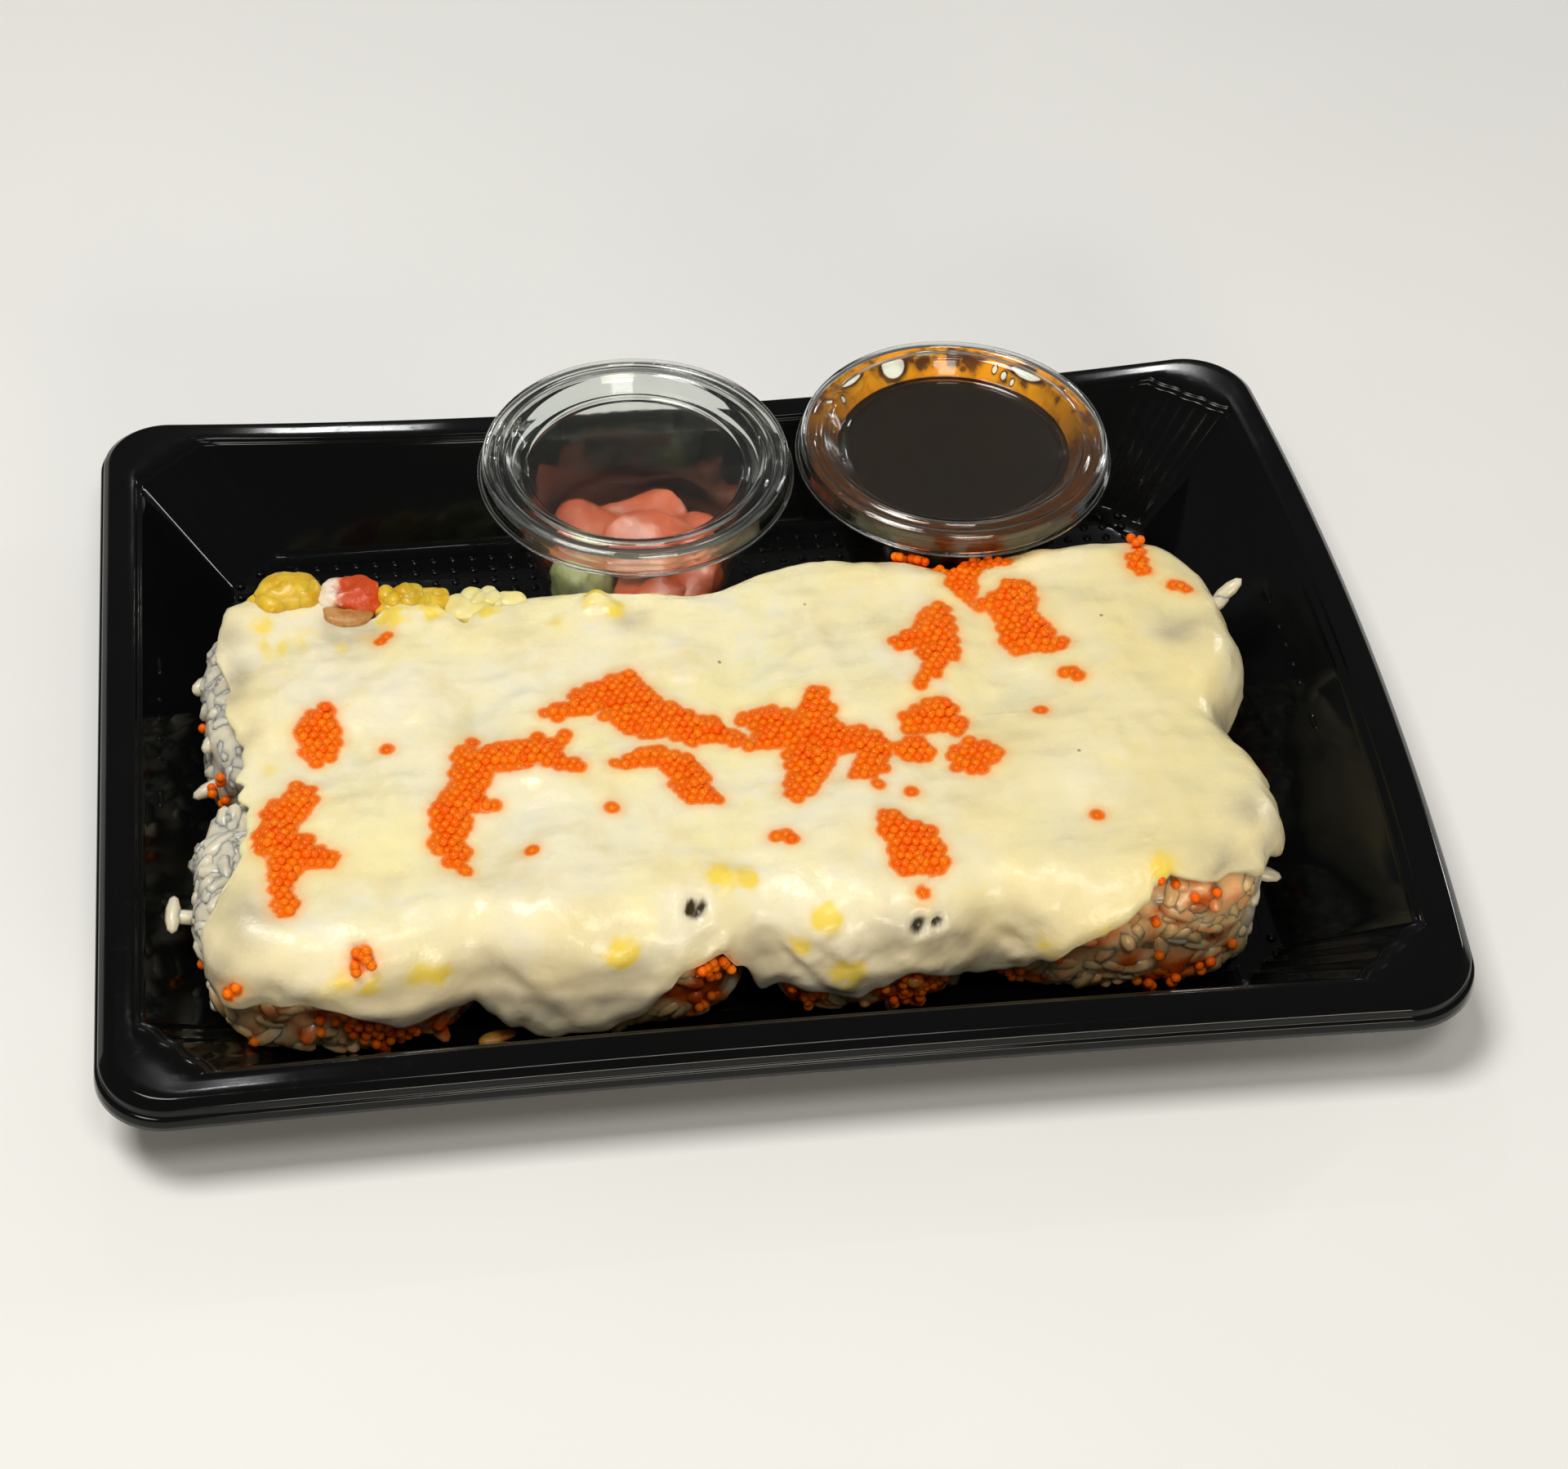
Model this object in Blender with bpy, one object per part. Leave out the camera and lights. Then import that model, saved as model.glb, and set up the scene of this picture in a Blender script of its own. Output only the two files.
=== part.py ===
"""A takeaway tray of eight inside-out rice rolls under one melted cheese sheet, with two lidded sauce cups.

Lengths are in metres. The tray's underside lies on z = 0 and the origin is under the middle of the tray.
"""

import math

import bmesh
import bpy
import numpy as np

MM = 0.001
TAU = 2.0 * math.pi
GAP = 0.3 * MM
SHARP_ANGLE = math.radians(38.0)
NOISE_WAVES = 7

# Tray: outer sizes at the foot of the skirt, and the section of its thin wall.
TRAY_LENGTH = 180.8 * MM
TRAY_WIDTH = 138.4 * MM
TRAY_DEPTH = 14.7 * MM
TRAY_WALL = 0.5 * MM
RIM_WIDTH = 5.9 * MM
BEAD = 0.7 * MM
SKIRT_HEIGHT = 4.0 * MM
WALL_RUN = 13.2 * MM
OUTER_CORNER = 10.0 * MM
CORNER_TIGHTENING = 0.4
WELL_CORNER = 9.5 * MM
FLOOR_CORNER = 6.0 * MM
FLUTE_DEPTH = 0.8 * MM
FLUTES = 3
BOW_BACK = 4.6 * MM
BOW_RIGHT = 3.8 * MM
BOW_FRONT = 1.2 * MM
BOW_AT_CORNER = 1.0 - (1.0 - 2.0 * OUTER_CORNER / TRAY_LENGTH) ** 2
LONG_SIDE_STEPS = 8
SHORT_SIDE_STEPS = 6
CORNER_STEPS = 9

# Cups and lids, turned about their own axes, which stand at these places on the tray's floor.
CUP_AXES = {"left": (-10.2 * MM, 33.5 * MM), "right": (36.9 * MM, 32.9 * MM)}
CUP_SIDES = 24
CUP_WALL = 0.5 * MM
CUP_BASE_RADIUS = 12.6 * MM
CUP_TOP_RADIUS = 20.4 * MM
CUP_HEIGHT = 29.3 * MM
CUP_FLANGE = 1.2 * MM
CUP_FLOOR = 0.6 * MM
LID_WALL = 0.4 * MM
PANEL_RADIUS = 16.9 * MM
PANEL_HEIGHT = 27.6 * MM
LID_RADIUS = 23.2 * MM
LID_TOP = 30.5 * MM

# Rolls: left edge, right edge, middle in y, half depth in y and height of each.
ROLLS = {
    "roll_front_1": (-76.6 * MM, -39.3 * MM, -34.8 * MM, 16.6 * MM, 21.4 * MM),
    "roll_front_2": (-38.7 * MM, -3.3 * MM, -35.2 * MM, 16.4 * MM, 21.8 * MM),
    "roll_front_3": (-2.7 * MM, 27.7 * MM, -34.9 * MM, 16.2 * MM, 21.3 * MM),
    "roll_front_4": (28.3 * MM, 67.0 * MM, -34.6 * MM, 16.4 * MM, 21.6 * MM),
    "roll_back_1": (-75.0 * MM, -37.9 * MM, 0.6 * MM, 18.0 * MM, 21.6 * MM),
    "roll_back_2": (-37.3 * MM, -1.3 * MM, -2.6 * MM, 15.3 * MM, 21.2 * MM),
    "roll_back_3": (-0.7 * MM, 34.7 * MM, -1.2 * MM, 16.6 * MM, 21.7 * MM),
    "roll_back_4": (35.3 * MM, 69.4 * MM, -1.0 * MM, 16.7 * MM, 21.3 * MM),
}
ROLL_SQUARENESS = 2.7
ROLL_SIDES = 24
ROLL_TOP_ROUND = 5.0 * MM
ROLL_FOOT_ROUND = 4.5 * MM
LEFT_FOOT_ROUND = 10.0 * MM
RICE_RELIEF = 0.45 * MM
RING_HEIGHTS = (0.0, 1.4 * MM, 4.4 * MM, 8.6 * MM, 12.6 * MM)
TOP_TURNS = (math.radians(20.0), math.radians(62.0))
GRAIN_LENGTH = 5.6 * MM
GRAIN_WIDTH = 2.3 * MM
LOWEST_GRAIN = 7.0 * MM
HIGHEST_GRAIN = 17.0 * MM
GRAIN_SUNK = 0.5 * MM
GRAIN_BELOW_LIP = 3.2 * MM
STEEPEST_GRAIN = 0.9
SIDE_GRAINS = {
    # How many grains stand out of the roll's side, and the directions in degrees that they lie between.
    "roll_front_1": (5, 150.0, 285.0),
    "roll_front_2": (2, 245.0, 300.0),
    "roll_front_3": (1, 250.0, 290.0),
    "roll_front_4": (5, 250.0, 385.0),
    "roll_back_1": (4, 70.0, 215.0),
    "roll_back_2": (1, 70.0, 110.0),
    "roll_back_3": (1, 70.0, 110.0),
    "roll_back_4": (2, 0.0, 100.0),
}
STRAY_GRAINS = {
    # Grains that point away from a side: middle in millimetres and direction.
    "roll_front_1": [((-77.8, -35.4, 13.4), (-1.0, 0.1, 0.1)), ((-79.7, -35.2, 13.9), (0.1, 1.0, 0.3))],
    "roll_back_1": [((-74.5, -10.8, 12.4), (-1.0, -0.5, -0.2))],
    "roll_front_4": [((67.2, -41.0, 12.0), (1.0, -0.3, -0.2))],
    "cheese": [((71.8, 6.6, 18.2), (1.0, 0.45, 0.3))],
}

# Cheese: one sheet over all the rolls, with its edge hanging down by the drop at each station.
BLOCK_SPINE = (-45.0 * MM, 40.0 * MM)
BLOCK_MIDDLE = -18.2 * MM
BLOCK_REACH = 36.0 * MM
SHORTEST_RAY = 10.0 * MM
LONGEST_RAY = 60.0 * MM
HALVINGS = 30
BLOCK_SQUEEZE = 0.45
OUTLINE_SOFTNESS = 4.5 * MM
OUTLINE_CLEARANCE = 0.5 * MM
SHEET_UNDERSIDE = 22.6 * MM
SHEET_ROUND = 5.5 * MM
SHEET_THICKNESS = 1.7 * MM
THICKNESS_CHANGE = 0.35
LUMP_LENGTH = 22.0 * MM
LIP_REACH = 0.7 * MM
LIP_OFFSET = 0.9 * MM
SHEET_AROUND = 76
UPPER_STATIONS = ((0.0, 0.34, 0.62, 0.84, 1.0), (0.33, 0.67, 1.0), (0.5, 1.0))
LOWER_STATIONS = ((0.0, 0.5, 1.0), (0.5, 1.0), (1.0,))
LEAST_STEP = 0.25 * MM
VALLEY_DEPTH = 0.7 * MM
VALLEY_WIDTH = 3.2 * MM
EDGE_DROPS = [
    # x and y of the station, and the drop measured along the sheet from where it starts to bend.
    (-76.0, -12.0, 4.0), (-76.0, -24.0, 0.0), (-76.0, -36.0, 0.5), (-76.0, -46.0, 3.0),
    (-70.0, -54.0, 5.0), (-61.0, -55.0, 8.0), (-54.0, -55.0, 11.0), (-48.0, -55.0, 14.6),
    (-43.0, -55.0, 14.1), (-39.0, -55.0, 11.8), (-34.5, -55.0, 15.0), (-28.0, -55.0, 18.6),
    (-20.0, -55.0, 18.8), (-13.5, -55.0, 17.0), (-9.0, -55.0, 12.8), (-5.5, -55.0, 7.5),
    (-1.2, -55.0, 12.2), (3.0, -55.0, 14.2), (8.6, -55.0, 16.5), (15.3, -55.0, 14.9),
    (20.0, -55.0, 13.2), (26.0, -55.0, 13.5), (32.5, -55.0, 10.6), (38.0, -55.0, 8.0),
    (44.0, -54.0, 6.4), (51.0, -53.0, 2.0), (60.0, -50.0, 1.0), (68.0, -42.0, 4.0),
    (71.0, -34.0, 9.0), (71.0, -20.0, 13.0), (71.0, -4.0, 12.0), (66.0, 14.0, 7.0),
    (50.0, 17.0, 7.0), (36.0, 17.0, 8.0), (20.0, 17.0, 11.0), (4.0, 17.0, 8.0),
    (-8.0, 15.0, 6.0), (-20.0, 15.0, 3.0), (-34.0, 15.0, 2.4), (-40.0, 16.0, 0.6),
    (-45.5, 17.0, -2.4), (-50.0, 18.0, -7.0), (-57.0, 18.0, -7.5), (-60.5, 18.0, -3.8),
    (-64.0, 18.0, -3.0), (-69.0, 16.0, -1.4), (-75.0, 7.0, 2.0),
]

# Roe: the middle line of each patch, its half width and how many grains stand proud of the sheet.
ROE_RADIUS = 0.72 * MM
ROE_SUNK = 0.25
ROE_SPREAD = 0.7
ROE_PATCHES = [
    ([(-59.0, -15.0), (-58.0, -10.0)], 2.4, 2),
    ([(-61.5, -24.0), (-64.5, -34.0), (-63.5, -43.0)], 2.4, 4),
    ([(-27.0, -18.5), (-36.0, -19.5), (-41.0, -25.0), (-41.5, -38.0)], 2.0, 5),
    ([(-27.0, -12.0), (-17.0, -8.0), (-12.0, -14.0), (-3.0, -19.0)], 2.4, 5),
    ([(-18.0, -23.5), (-12.0, -23.0), (-9.0, -29.0)], 1.6, 3),
    ([(0.0, -15.5), (8.0, -17.0), (12.0, -23.0), (21.0, -24.0)], 2.6, 5),
    ([(6.0, -24.0), (4.0, -29.0)], 1.4, 2),
    ([(21.0, -20.0), (27.0, -17.0)], 1.6, 2),
    ([(27.0, -24.0), (30.0, -27.0)], 1.4, 2),
    ([(27.5, 0.0), (25.5, -6.0), (24.0, -11.0)], 1.6, 3),
    ([(35.0, 10.0), (36.0, 5.0), (42.0, -4.0)], 2.4, 4),
    ([(17.0, -37.0), (18.0, -44.0)], 2.6, 3),
]

# Egg crumbs half sunk in the sheet: x, y, half sizes.
CRUMB_FLATNESS = 0.5
EGG_CRUMBS = [(-6.5, -47.0, 3.0, 1.6), (-17.0, 6.0, 3.2, 2.4), (9.0, -46.0, 2.2, 1.8)]

# Toppings that show along the back edge: middle, half sizes and turn about z.
TOPPINGS = {
    "egg_chunk": ((-62.2, 15.6, 24.7), (4.4, 3.0, 3.0), 6.0),
    "crab_stick": ((-53.0, 14.8, 24.5), (4.0, 2.8, 2.5), -6.0),
    "egg_crumble": ((-43.0, 12.9, 23.6), (5.2, 2.3, 1.9), 3.0),
    "shrimp_piece": ((-53.0, 10.0, 22.9), (3.2, 1.2, 0.9), 3.0),
}
TOPPING_SQUARENESS = 0.8
TOPPING_UNEVENNESS = (-0.1, 0.06)

# Ginger and green paste in the left cup, and sauce in the right one.
CONTENTS_FOOT = 1.2 * MM
CONTENTS_CLEARANCE = GAP + 0.2 * MM
GINGER_HEIGHT = 10.5 * MM
GINGER_EDGE = 1.2 * MM
GINGER_EDGE_INSET = 1.0 * MM
GINGER_SIDES = 24
SLICE_WAVE_HEIGHT = 0.8 * MM
SLICE_WAVE_LENGTH = 15.0 * MM
SLICE_ARCH_RADIUS = 22.7 * MM
PASTE_RADIUS = 4.6 * MM
PASTE_SIDES = 12
PASTE_ANGLE = math.radians(222.0)
PASTE_PROFILE = (
    # Height above the floor and share of the radius there.
    (1.2 * MM, 0.55), (2.4 * MM, 0.9), (6.0 * MM, 1.0), (10.0 * MM, 1.0), (13.2 * MM, 0.85), (15.0 * MM, 0.5),
)
GINGER_TO_PASTE = 1.2 * MM
SAUCE_HEIGHT = 26.8 * MM
GINGER_SLICES = [
    # Middle relative to the cup's axis, half sizes, and turns about x and z in degrees.
    ((1.5, -2.5, 15.4), (7.0, 5.0, 1.3), 24.0, 5.0),
    ((7.2, 2.0, 12.4), (5.0, 6.0, 1.1), -18.0, 40.0),
    ((3.0, 8.0, 11.2), (6.5, 4.4, 1.1), 12.0, -15.0),
    ((-6.0, 5.2, 11.4), (5.4, 6.0, 1.0), 8.0, 60.0),
    ((7.0, -7.0, 12.6), (4.6, 4.4, 1.4), 35.0, -30.0),
    ((2.8, -9.4, 11.2), (4.2, 3.0, 1.2), 20.0, 10.0),
]


def make_material(name, color, roughness, metallic=0.0, transmission=0.0):
    material = bpy.data.materials.new(name)
    material.use_nodes = True
    shader = material.node_tree.nodes["Principled BSDF"]
    shader.inputs["Base Color"].default_value = (*color, 1.0)
    shader.inputs["Roughness"].default_value = roughness
    shader.inputs["Metallic"].default_value = metallic
    shader.inputs["Transmission Weight"].default_value = transmission
    material.diffuse_color = (*color, 1.0)
    return material


def make_object(name, points, faces, material):
    """A mesh object with its faces turned outwards and smooth, except across sharp edges."""
    mesh = bpy.data.meshes.new(name)
    mesh.from_pydata(np.asarray(points).tolist(), [], faces)
    shell = bmesh.new()
    shell.from_mesh(mesh)
    bmesh.ops.recalc_face_normals(shell, faces=shell.faces)
    shell.to_mesh(mesh)
    shell.free()
    mesh.shade_smooth()
    mesh.set_sharp_from_angle(angle=SHARP_ANGLE)
    mesh.materials.append(material)
    part = bpy.data.objects.new(name, mesh)
    bpy.context.collection.objects.link(part)
    part.parent = STAND
    return part


def ring_faces(rings, around, cap_start=True, cap_end=True):
    """Quads between neighbouring rings of equal length, and one flat face on each capped end."""
    faces = []
    for ring in range(rings - 1):
        for step in range(around):
            after = (step + 1) % around
            low = ring * around
            high = low + around
            faces.append((low + step, low + after, high + after, high + step))
    if cap_start:
        faces.append(tuple(range(around))[::-1])
    if cap_end:
        faces.append(tuple(range((rings - 1) * around, rings * around)))
    return faces


def turned_points(profile, sides, axis=(0.0, 0.0)):
    """Rings of a profile of (radius, height) turned about a vertical axis. The ends lie on the axis."""
    turns = np.arange(sides) * TAU / sides
    rings = [
        np.column_stack([
            axis[0] + radius * np.cos(turns),
            axis[1] + radius * np.sin(turns),
            np.full(sides, height),
        ])
        for radius, height in profile[1:-1]
    ]
    ends = [(axis[0], axis[1], profile[0][1]), (axis[0], axis[1], profile[-1][1])]
    return np.vstack([*rings, ends])


def turned_faces(profile, sides):
    rings = len(profile) - 2
    faces = ring_faces(rings, sides, cap_start=False, cap_end=False)
    first, last = rings * sides, rings * sides + 1
    top = (rings - 1) * sides
    for step in range(sides):
        after = (step + 1) % sides
        faces.append((step, after, first))
        faces.append((top + step, top + after, last))
    return faces


def make_turned(name, profile, material, axis):
    points = turned_points(profile, CUP_SIDES, axis)
    return make_object(name, points, turned_faces(profile, CUP_SIDES), material)


def offset_section(section, distance):
    """The section moved to its lower side by the distance, with mitred corners."""
    points = np.array(section)
    runs = np.diff(np.vstack([points, points[-1] + (1.0, 0.0)]), axis=0)
    normals = np.column_stack([runs[:, 1], -runs[:, 0]]) / np.linalg.norm(runs, axis=1)[:, None]
    before = np.vstack([normals[:1], normals[:-1]])
    spread = 1.0 + (before * normals).sum(axis=1)
    return points + distance * (before + normals) / spread[:, None]


def corner_points(inset, flute):
    """One corner of the plan, for x and y both positive: a round rim corner, or a chamfer with flutes."""
    along = np.linspace(0.0, 1.0, CORNER_STEPS + 1)
    half_x, half_y = TRAY_LENGTH / 2 - inset, TRAY_WIDTH / 2 - inset
    radius = OUTER_CORNER - CORNER_TIGHTENING * min(inset, RIM_WIDTH)
    turn = along * math.pi / 2
    rounded = np.column_stack([
        half_x - radius + radius * np.cos(turn),
        half_y - radius + radius * np.sin(turn),
    ])
    low = min(1.0, max(0.0, (inset - RIM_WIDTH) / WALL_RUN))
    cut = WELL_CORNER + (FLOOR_CORNER - WELL_CORNER) * low
    wave = FLUTE_DEPTH * (0.5 - 0.5 * np.cos(TAU * FLUTES * along)) / math.sqrt(2.0)
    chamfered = np.column_stack([half_x - cut * along - wave, half_y - cut * (1.0 - along) - wave])
    return rounded + (chamfered - rounded) * flute


def tray_ring(inset, height):
    """One ring of the tray: four sides and four corners, with the sides bowed as the thin rim is."""
    flute = 1.0 if inset > RIM_WIDTH - 0.1 * MM else 0.0
    corner = corner_points(inset, flute)
    mirrored = corner[::-1]
    corners = [corner, mirrored * (-1, 1), corner * (-1, -1), mirrored * (1, -1)]
    steps = [LONG_SIDE_STEPS, SHORT_SIDE_STEPS, LONG_SIDE_STEPS, SHORT_SIDE_STEPS]
    plan = []
    for index, count in enumerate(steps):
        start, end = corners[index][-1], corners[(index + 1) % 4][0]
        share = np.arange(1, count)[:, None] / count
        plan += [corners[index], start + (end - start) * share]
    plan = np.vstack(plan)
    x, y = plan[:, 0], plan[:, 1]
    across = x / (TRAY_LENGTH / 2 - inset)
    along = y / (TRAY_WIDTH / 2 - inset)
    bend = min(1.0, max(0.0, 1.0 - (inset - RIM_WIDTH) / WALL_RUN))
    side_x = 1.0 - across**2
    side_y = 1.0 - along**2
    moved_y = y - bend * BOW_BACK * side_x * np.clip(along, 0, 1) ** 2
    moved_y = moved_y + bend * BOW_FRONT * side_x * np.clip(-along, 0, 1) ** 2
    moved_x = x + bend * BOW_RIGHT * side_y * np.clip(across, 0, 1) ** 2
    return np.column_stack([moved_x, moved_y, np.full(len(x), height)])


def make_tray():
    """A thin wall carried round the plan: skirt, rim, bead, sloping wall and floor, then back underneath."""
    upper = [
        (0.0, TRAY_DEPTH - SKIRT_HEIGHT),
        (0.7 * MM, TRAY_DEPTH - 1.0 * MM),
        (1.1 * MM, TRAY_DEPTH - 0.3 * MM),
        (1.9 * MM, TRAY_DEPTH),
        (RIM_WIDTH, TRAY_DEPTH),
        (RIM_WIDTH + 0.3 * MM, TRAY_DEPTH - BEAD),
        (RIM_WIDTH + 1.0 * MM, TRAY_DEPTH - BEAD - 0.2 * MM),
        (RIM_WIDTH + WALL_RUN - 0.6 * MM, 0.6 * MM),
        (RIM_WIDTH + WALL_RUN, 0.0),
    ]
    plain = [upper[0], upper[2], *upper[3:5], *upper[7:]]
    lower = offset_section(plain, TRAY_WALL)
    section = [*lower[::-1].tolist(), *upper]
    rings = [tray_ring(inset, height) for inset, height in section]
    faces = ring_faces(len(rings), len(rings[0]))
    return make_object("tray", np.vstack(rings), faces, BLACK_PLASTIC)


def make_cup(name, axis):
    """A tapered portion cup: up the outer wall, round a flat flange, and down the inner wall to its floor."""
    taper = (CUP_TOP_RADIUS - CUP_BASE_RADIUS) / (CUP_HEIGHT - 0.8 * MM)
    inner_base = CUP_BASE_RADIUS - CUP_WALL
    profile = [
        (0.0, GAP),
        (CUP_BASE_RADIUS - 0.6 * MM, GAP),
        (CUP_BASE_RADIUS, GAP + 0.8 * MM),
        (CUP_TOP_RADIUS, CUP_HEIGHT - 0.5 * MM),
        (CUP_TOP_RADIUS + CUP_FLANGE, CUP_HEIGHT - 0.3 * MM),
        (CUP_TOP_RADIUS + CUP_FLANGE, CUP_HEIGHT + 0.2 * MM),
        (CUP_TOP_RADIUS - 0.3 * MM, CUP_HEIGHT + 0.2 * MM),
        (CUP_TOP_RADIUS - CUP_WALL - taper * MM, CUP_HEIGHT - 1.0 * MM),
        (inner_base + taper * MM, GAP + CUP_FLOOR + 0.6 * MM),
        (inner_base - 0.5 * MM, GAP + CUP_FLOOR),
        (0.0, GAP + CUP_FLOOR),
    ]
    return make_turned(name, profile, CLEAR_PLASTIC, axis)


def cup_inner_radius(height):
    """Radius of the cup's inner wall at a height above the tray's floor."""
    low, high = GAP + CUP_FLOOR + 0.6 * MM, CUP_HEIGHT - 1.0 * MM
    share = (height - low) / (high - low)
    return CUP_BASE_RADIUS - CUP_WALL + share * (CUP_TOP_RADIUS - CUP_BASE_RADIUS)


def make_lid(name, axis):
    """A press-on lid: a sunk round panel, a double ring on top, and a skirt round the cup's flange."""
    upper = [
        (0.0, PANEL_HEIGHT),
        (PANEL_RADIUS, PANEL_HEIGHT),
        (PANEL_RADIUS + 1.6 * MM, LID_TOP - 0.3 * MM),
        (PANEL_RADIUS + 2.2 * MM, LID_TOP),
        (PANEL_RADIUS + 3.2 * MM, LID_TOP - 0.3 * MM),
        (PANEL_RADIUS + 4.3 * MM, LID_TOP),
        (LID_RADIUS - 0.9 * MM, LID_TOP - 0.2 * MM),
        (LID_RADIUS - 0.5 * MM, LID_TOP - 1.8 * MM),
        (LID_RADIUS, LID_TOP - 3.0 * MM),
        (LID_RADIUS, LID_TOP - 3.5 * MM),
    ]
    lower = [
        (LID_RADIUS - LID_WALL, LID_TOP - 3.5 * MM),
        (LID_RADIUS - LID_WALL - 0.5 * MM, LID_TOP - 1.8 * MM),
        (LID_RADIUS - LID_WALL - 0.9 * MM, LID_TOP - 0.6 * MM),
        (PANEL_RADIUS + 2.3 * MM, LID_TOP - 0.7 * MM),
        (PANEL_RADIUS + LID_WALL + 0.1 * MM, PANEL_HEIGHT - 0.1 * MM),
        (PANEL_RADIUS, PANEL_HEIGHT - LID_WALL),
        (0.0, PANEL_HEIGHT - LID_WALL),
    ]
    return make_turned(name, upper + lower, CLEAR_PLASTIC, axis)


def smooth_noise(x, y, seed, wavelength):
    """A sum of plane waves with seeded directions and phases, between about -1 and 1."""
    draws = np.random.default_rng(seed)
    total = np.zeros(np.shape(x))
    for _ in range(NOISE_WAVES):
        turn = draws.uniform(0, TAU)
        phase = draws.uniform(0, TAU)
        length = wavelength * draws.uniform(0.7, 1.5)
        along = x * math.cos(turn) + y * math.sin(turn)
        total = total + np.sin(along * TAU / length + phase)
    return total * 2.0 / NOISE_WAVES


def roll_radius(turns, half_x, half_y):
    """Distance from the middle to a superellipse, which is rounder than a square and squarer than a circle."""
    power = ROLL_SQUARENESS
    reach = np.abs(np.cos(turns) / half_x) ** power + np.abs(np.sin(turns) / half_y) ** power
    return reach ** (-1.0 / power)


def foot_inset(height, radius):
    """How far a rounded foot of this radius is drawn in at a height above the floor."""
    rest = np.clip(radius - height, 0.0, radius)
    return radius - np.sqrt(radius**2 - rest**2)


def grain_points(middle, direction, length, width):
    """A rice grain: an icosphere of 20 faces, stretched along its direction."""
    shell = bmesh.new()
    bmesh.ops.create_icosphere(shell, subdivisions=1, radius=1.0)
    points = np.array([vertex.co for vertex in shell.verts])
    faces = [tuple(vertex.index for vertex in face.verts) for face in shell.faces]
    shell.free()
    along = np.array(direction, float) / np.linalg.norm(direction)
    side = np.cross(along, (0.0, 0.0, 1.0) if abs(along[2]) < 0.9 else (1.0, 0.0, 0.0))
    side /= np.linalg.norm(side)
    frame = np.array([along * length / 2, side * width / 2, np.cross(along, side) * width / 2])
    return points @ frame + middle, faces


def fuse(base, pieces, solver="EXACT"):
    """Joins small pieces to the base with one Boolean union, applied, and removes their objects."""
    group = bpy.data.collections.new(base.name + "_pieces")
    bpy.context.scene.collection.children.link(group)
    for number, (points, faces) in enumerate(pieces):
        piece = make_object(f"{base.name}_piece_{number}", points, faces, base.data.materials[0])
        bpy.context.collection.objects.unlink(piece)
        group.objects.link(piece)
    union = base.modifiers.new("union", "BOOLEAN")
    union.operation = "UNION"
    union.solver = solver
    union.operand_type = "COLLECTION"
    union.collection = group
    bpy.context.view_layer.update()
    graph = bpy.context.evaluated_depsgraph_get()
    joined = bpy.data.meshes.new_from_object(base.evaluated_get(graph))
    base.modifiers.clear()
    base.data = joined
    for piece in list(group.objects):
        bpy.data.objects.remove(piece)
    bpy.data.collections.remove(group)
    return base


def make_roll(name, seed):
    """A round of rice, cut faces up: rings of a superellipse, rounded at top and foot, with rice relief."""
    left, right, middle_y, half_y, height = ROLLS[name]
    middle_x, half_x = (left + right) / 2, (right - left) / 2
    draws = np.random.default_rng(seed)
    turns = (np.arange(ROLL_SIDES) + 0.5) * TAU / ROLL_SIDES
    outline = roll_radius(turns, half_x, half_y)
    foot_round = np.full(ROLL_SIDES, ROLL_FOOT_ROUND)
    if name.endswith("_1"):
        to_wall = np.clip(-np.cos(turns), 0, 1) ** 2
        foot_round = ROLL_FOOT_ROUND + (LEFT_FOOT_ROUND - ROLL_FOOT_ROUND) * to_wall
    rings = []
    for level in RING_HEIGHTS:
        relief = draws.uniform(-1.0, 0.0, ROLL_SIDES) * RICE_RELIEF if level > 0.0 else -RICE_RELIEF
        radius = outline - foot_inset(level, foot_round) + relief
        rings.append(ring_of(middle_x, middle_y, radius, turns, level + GAP))
    for turn in TOP_TURNS:
        inset = ROLL_TOP_ROUND * (1 - math.cos(turn))
        drop = ROLL_TOP_ROUND * (1 - math.sin(turn))
        relief = draws.uniform(-1.0, 0.0, ROLL_SIDES) * RICE_RELIEF
        rings.append(ring_of(middle_x, middle_y, outline - inset + relief, turns, height - drop))
    rings.append(ring_of(middle_x, middle_y, outline - ROLL_TOP_ROUND * 1.2, turns, height))
    faces = ring_faces(len(rings), ROLL_SIDES)
    return make_object(name, np.vstack(rings), faces, RICE)


def ring_of(middle_x, middle_y, radius, turns, height):
    return np.column_stack([
        middle_x + radius * np.cos(turns),
        middle_y + radius * np.sin(turns),
        np.full(len(turns), height),
    ])


def side_grains(name, seed):
    """Rice grains half sunk in the side of a roll, spread evenly and kept below the edge of the sheet."""
    left, right, middle_y, half_y, _ = ROLLS[name]
    middle_x, half_x = (left + right) / 2, (right - left) / 2
    count, first_turn, last_turn = SIDE_GRAINS[name]
    draws = np.random.default_rng(seed)
    pieces = []
    for number in range(count):
        turn = math.radians(first_turn + (last_turn - first_turn) * (number + 0.5) / count)
        reach = roll_radius(np.array([turn]), half_x, half_y)[0] - GRAIN_SUNK
        place = (middle_x + reach * math.cos(turn), middle_y + reach * math.sin(turn))
        slope = draws.uniform(-STEEPEST_GRAIN, STEEPEST_GRAIN)
        highest = min(HIGHEST_GRAIN, lip_height(place) - GRAIN_BELOW_LIP)
        level = LOWEST_GRAIN + draws.uniform(0.0, 1.0) * max(0.0, highest - LOWEST_GRAIN)
        if highest < LOWEST_GRAIN:
            continue
        direction = (-math.sin(turn), math.cos(turn), slope)
        pieces.append(grain_points((*place, level), direction, GRAIN_LENGTH, GRAIN_WIDTH))
    return pieces + stray_grains(name)


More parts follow.
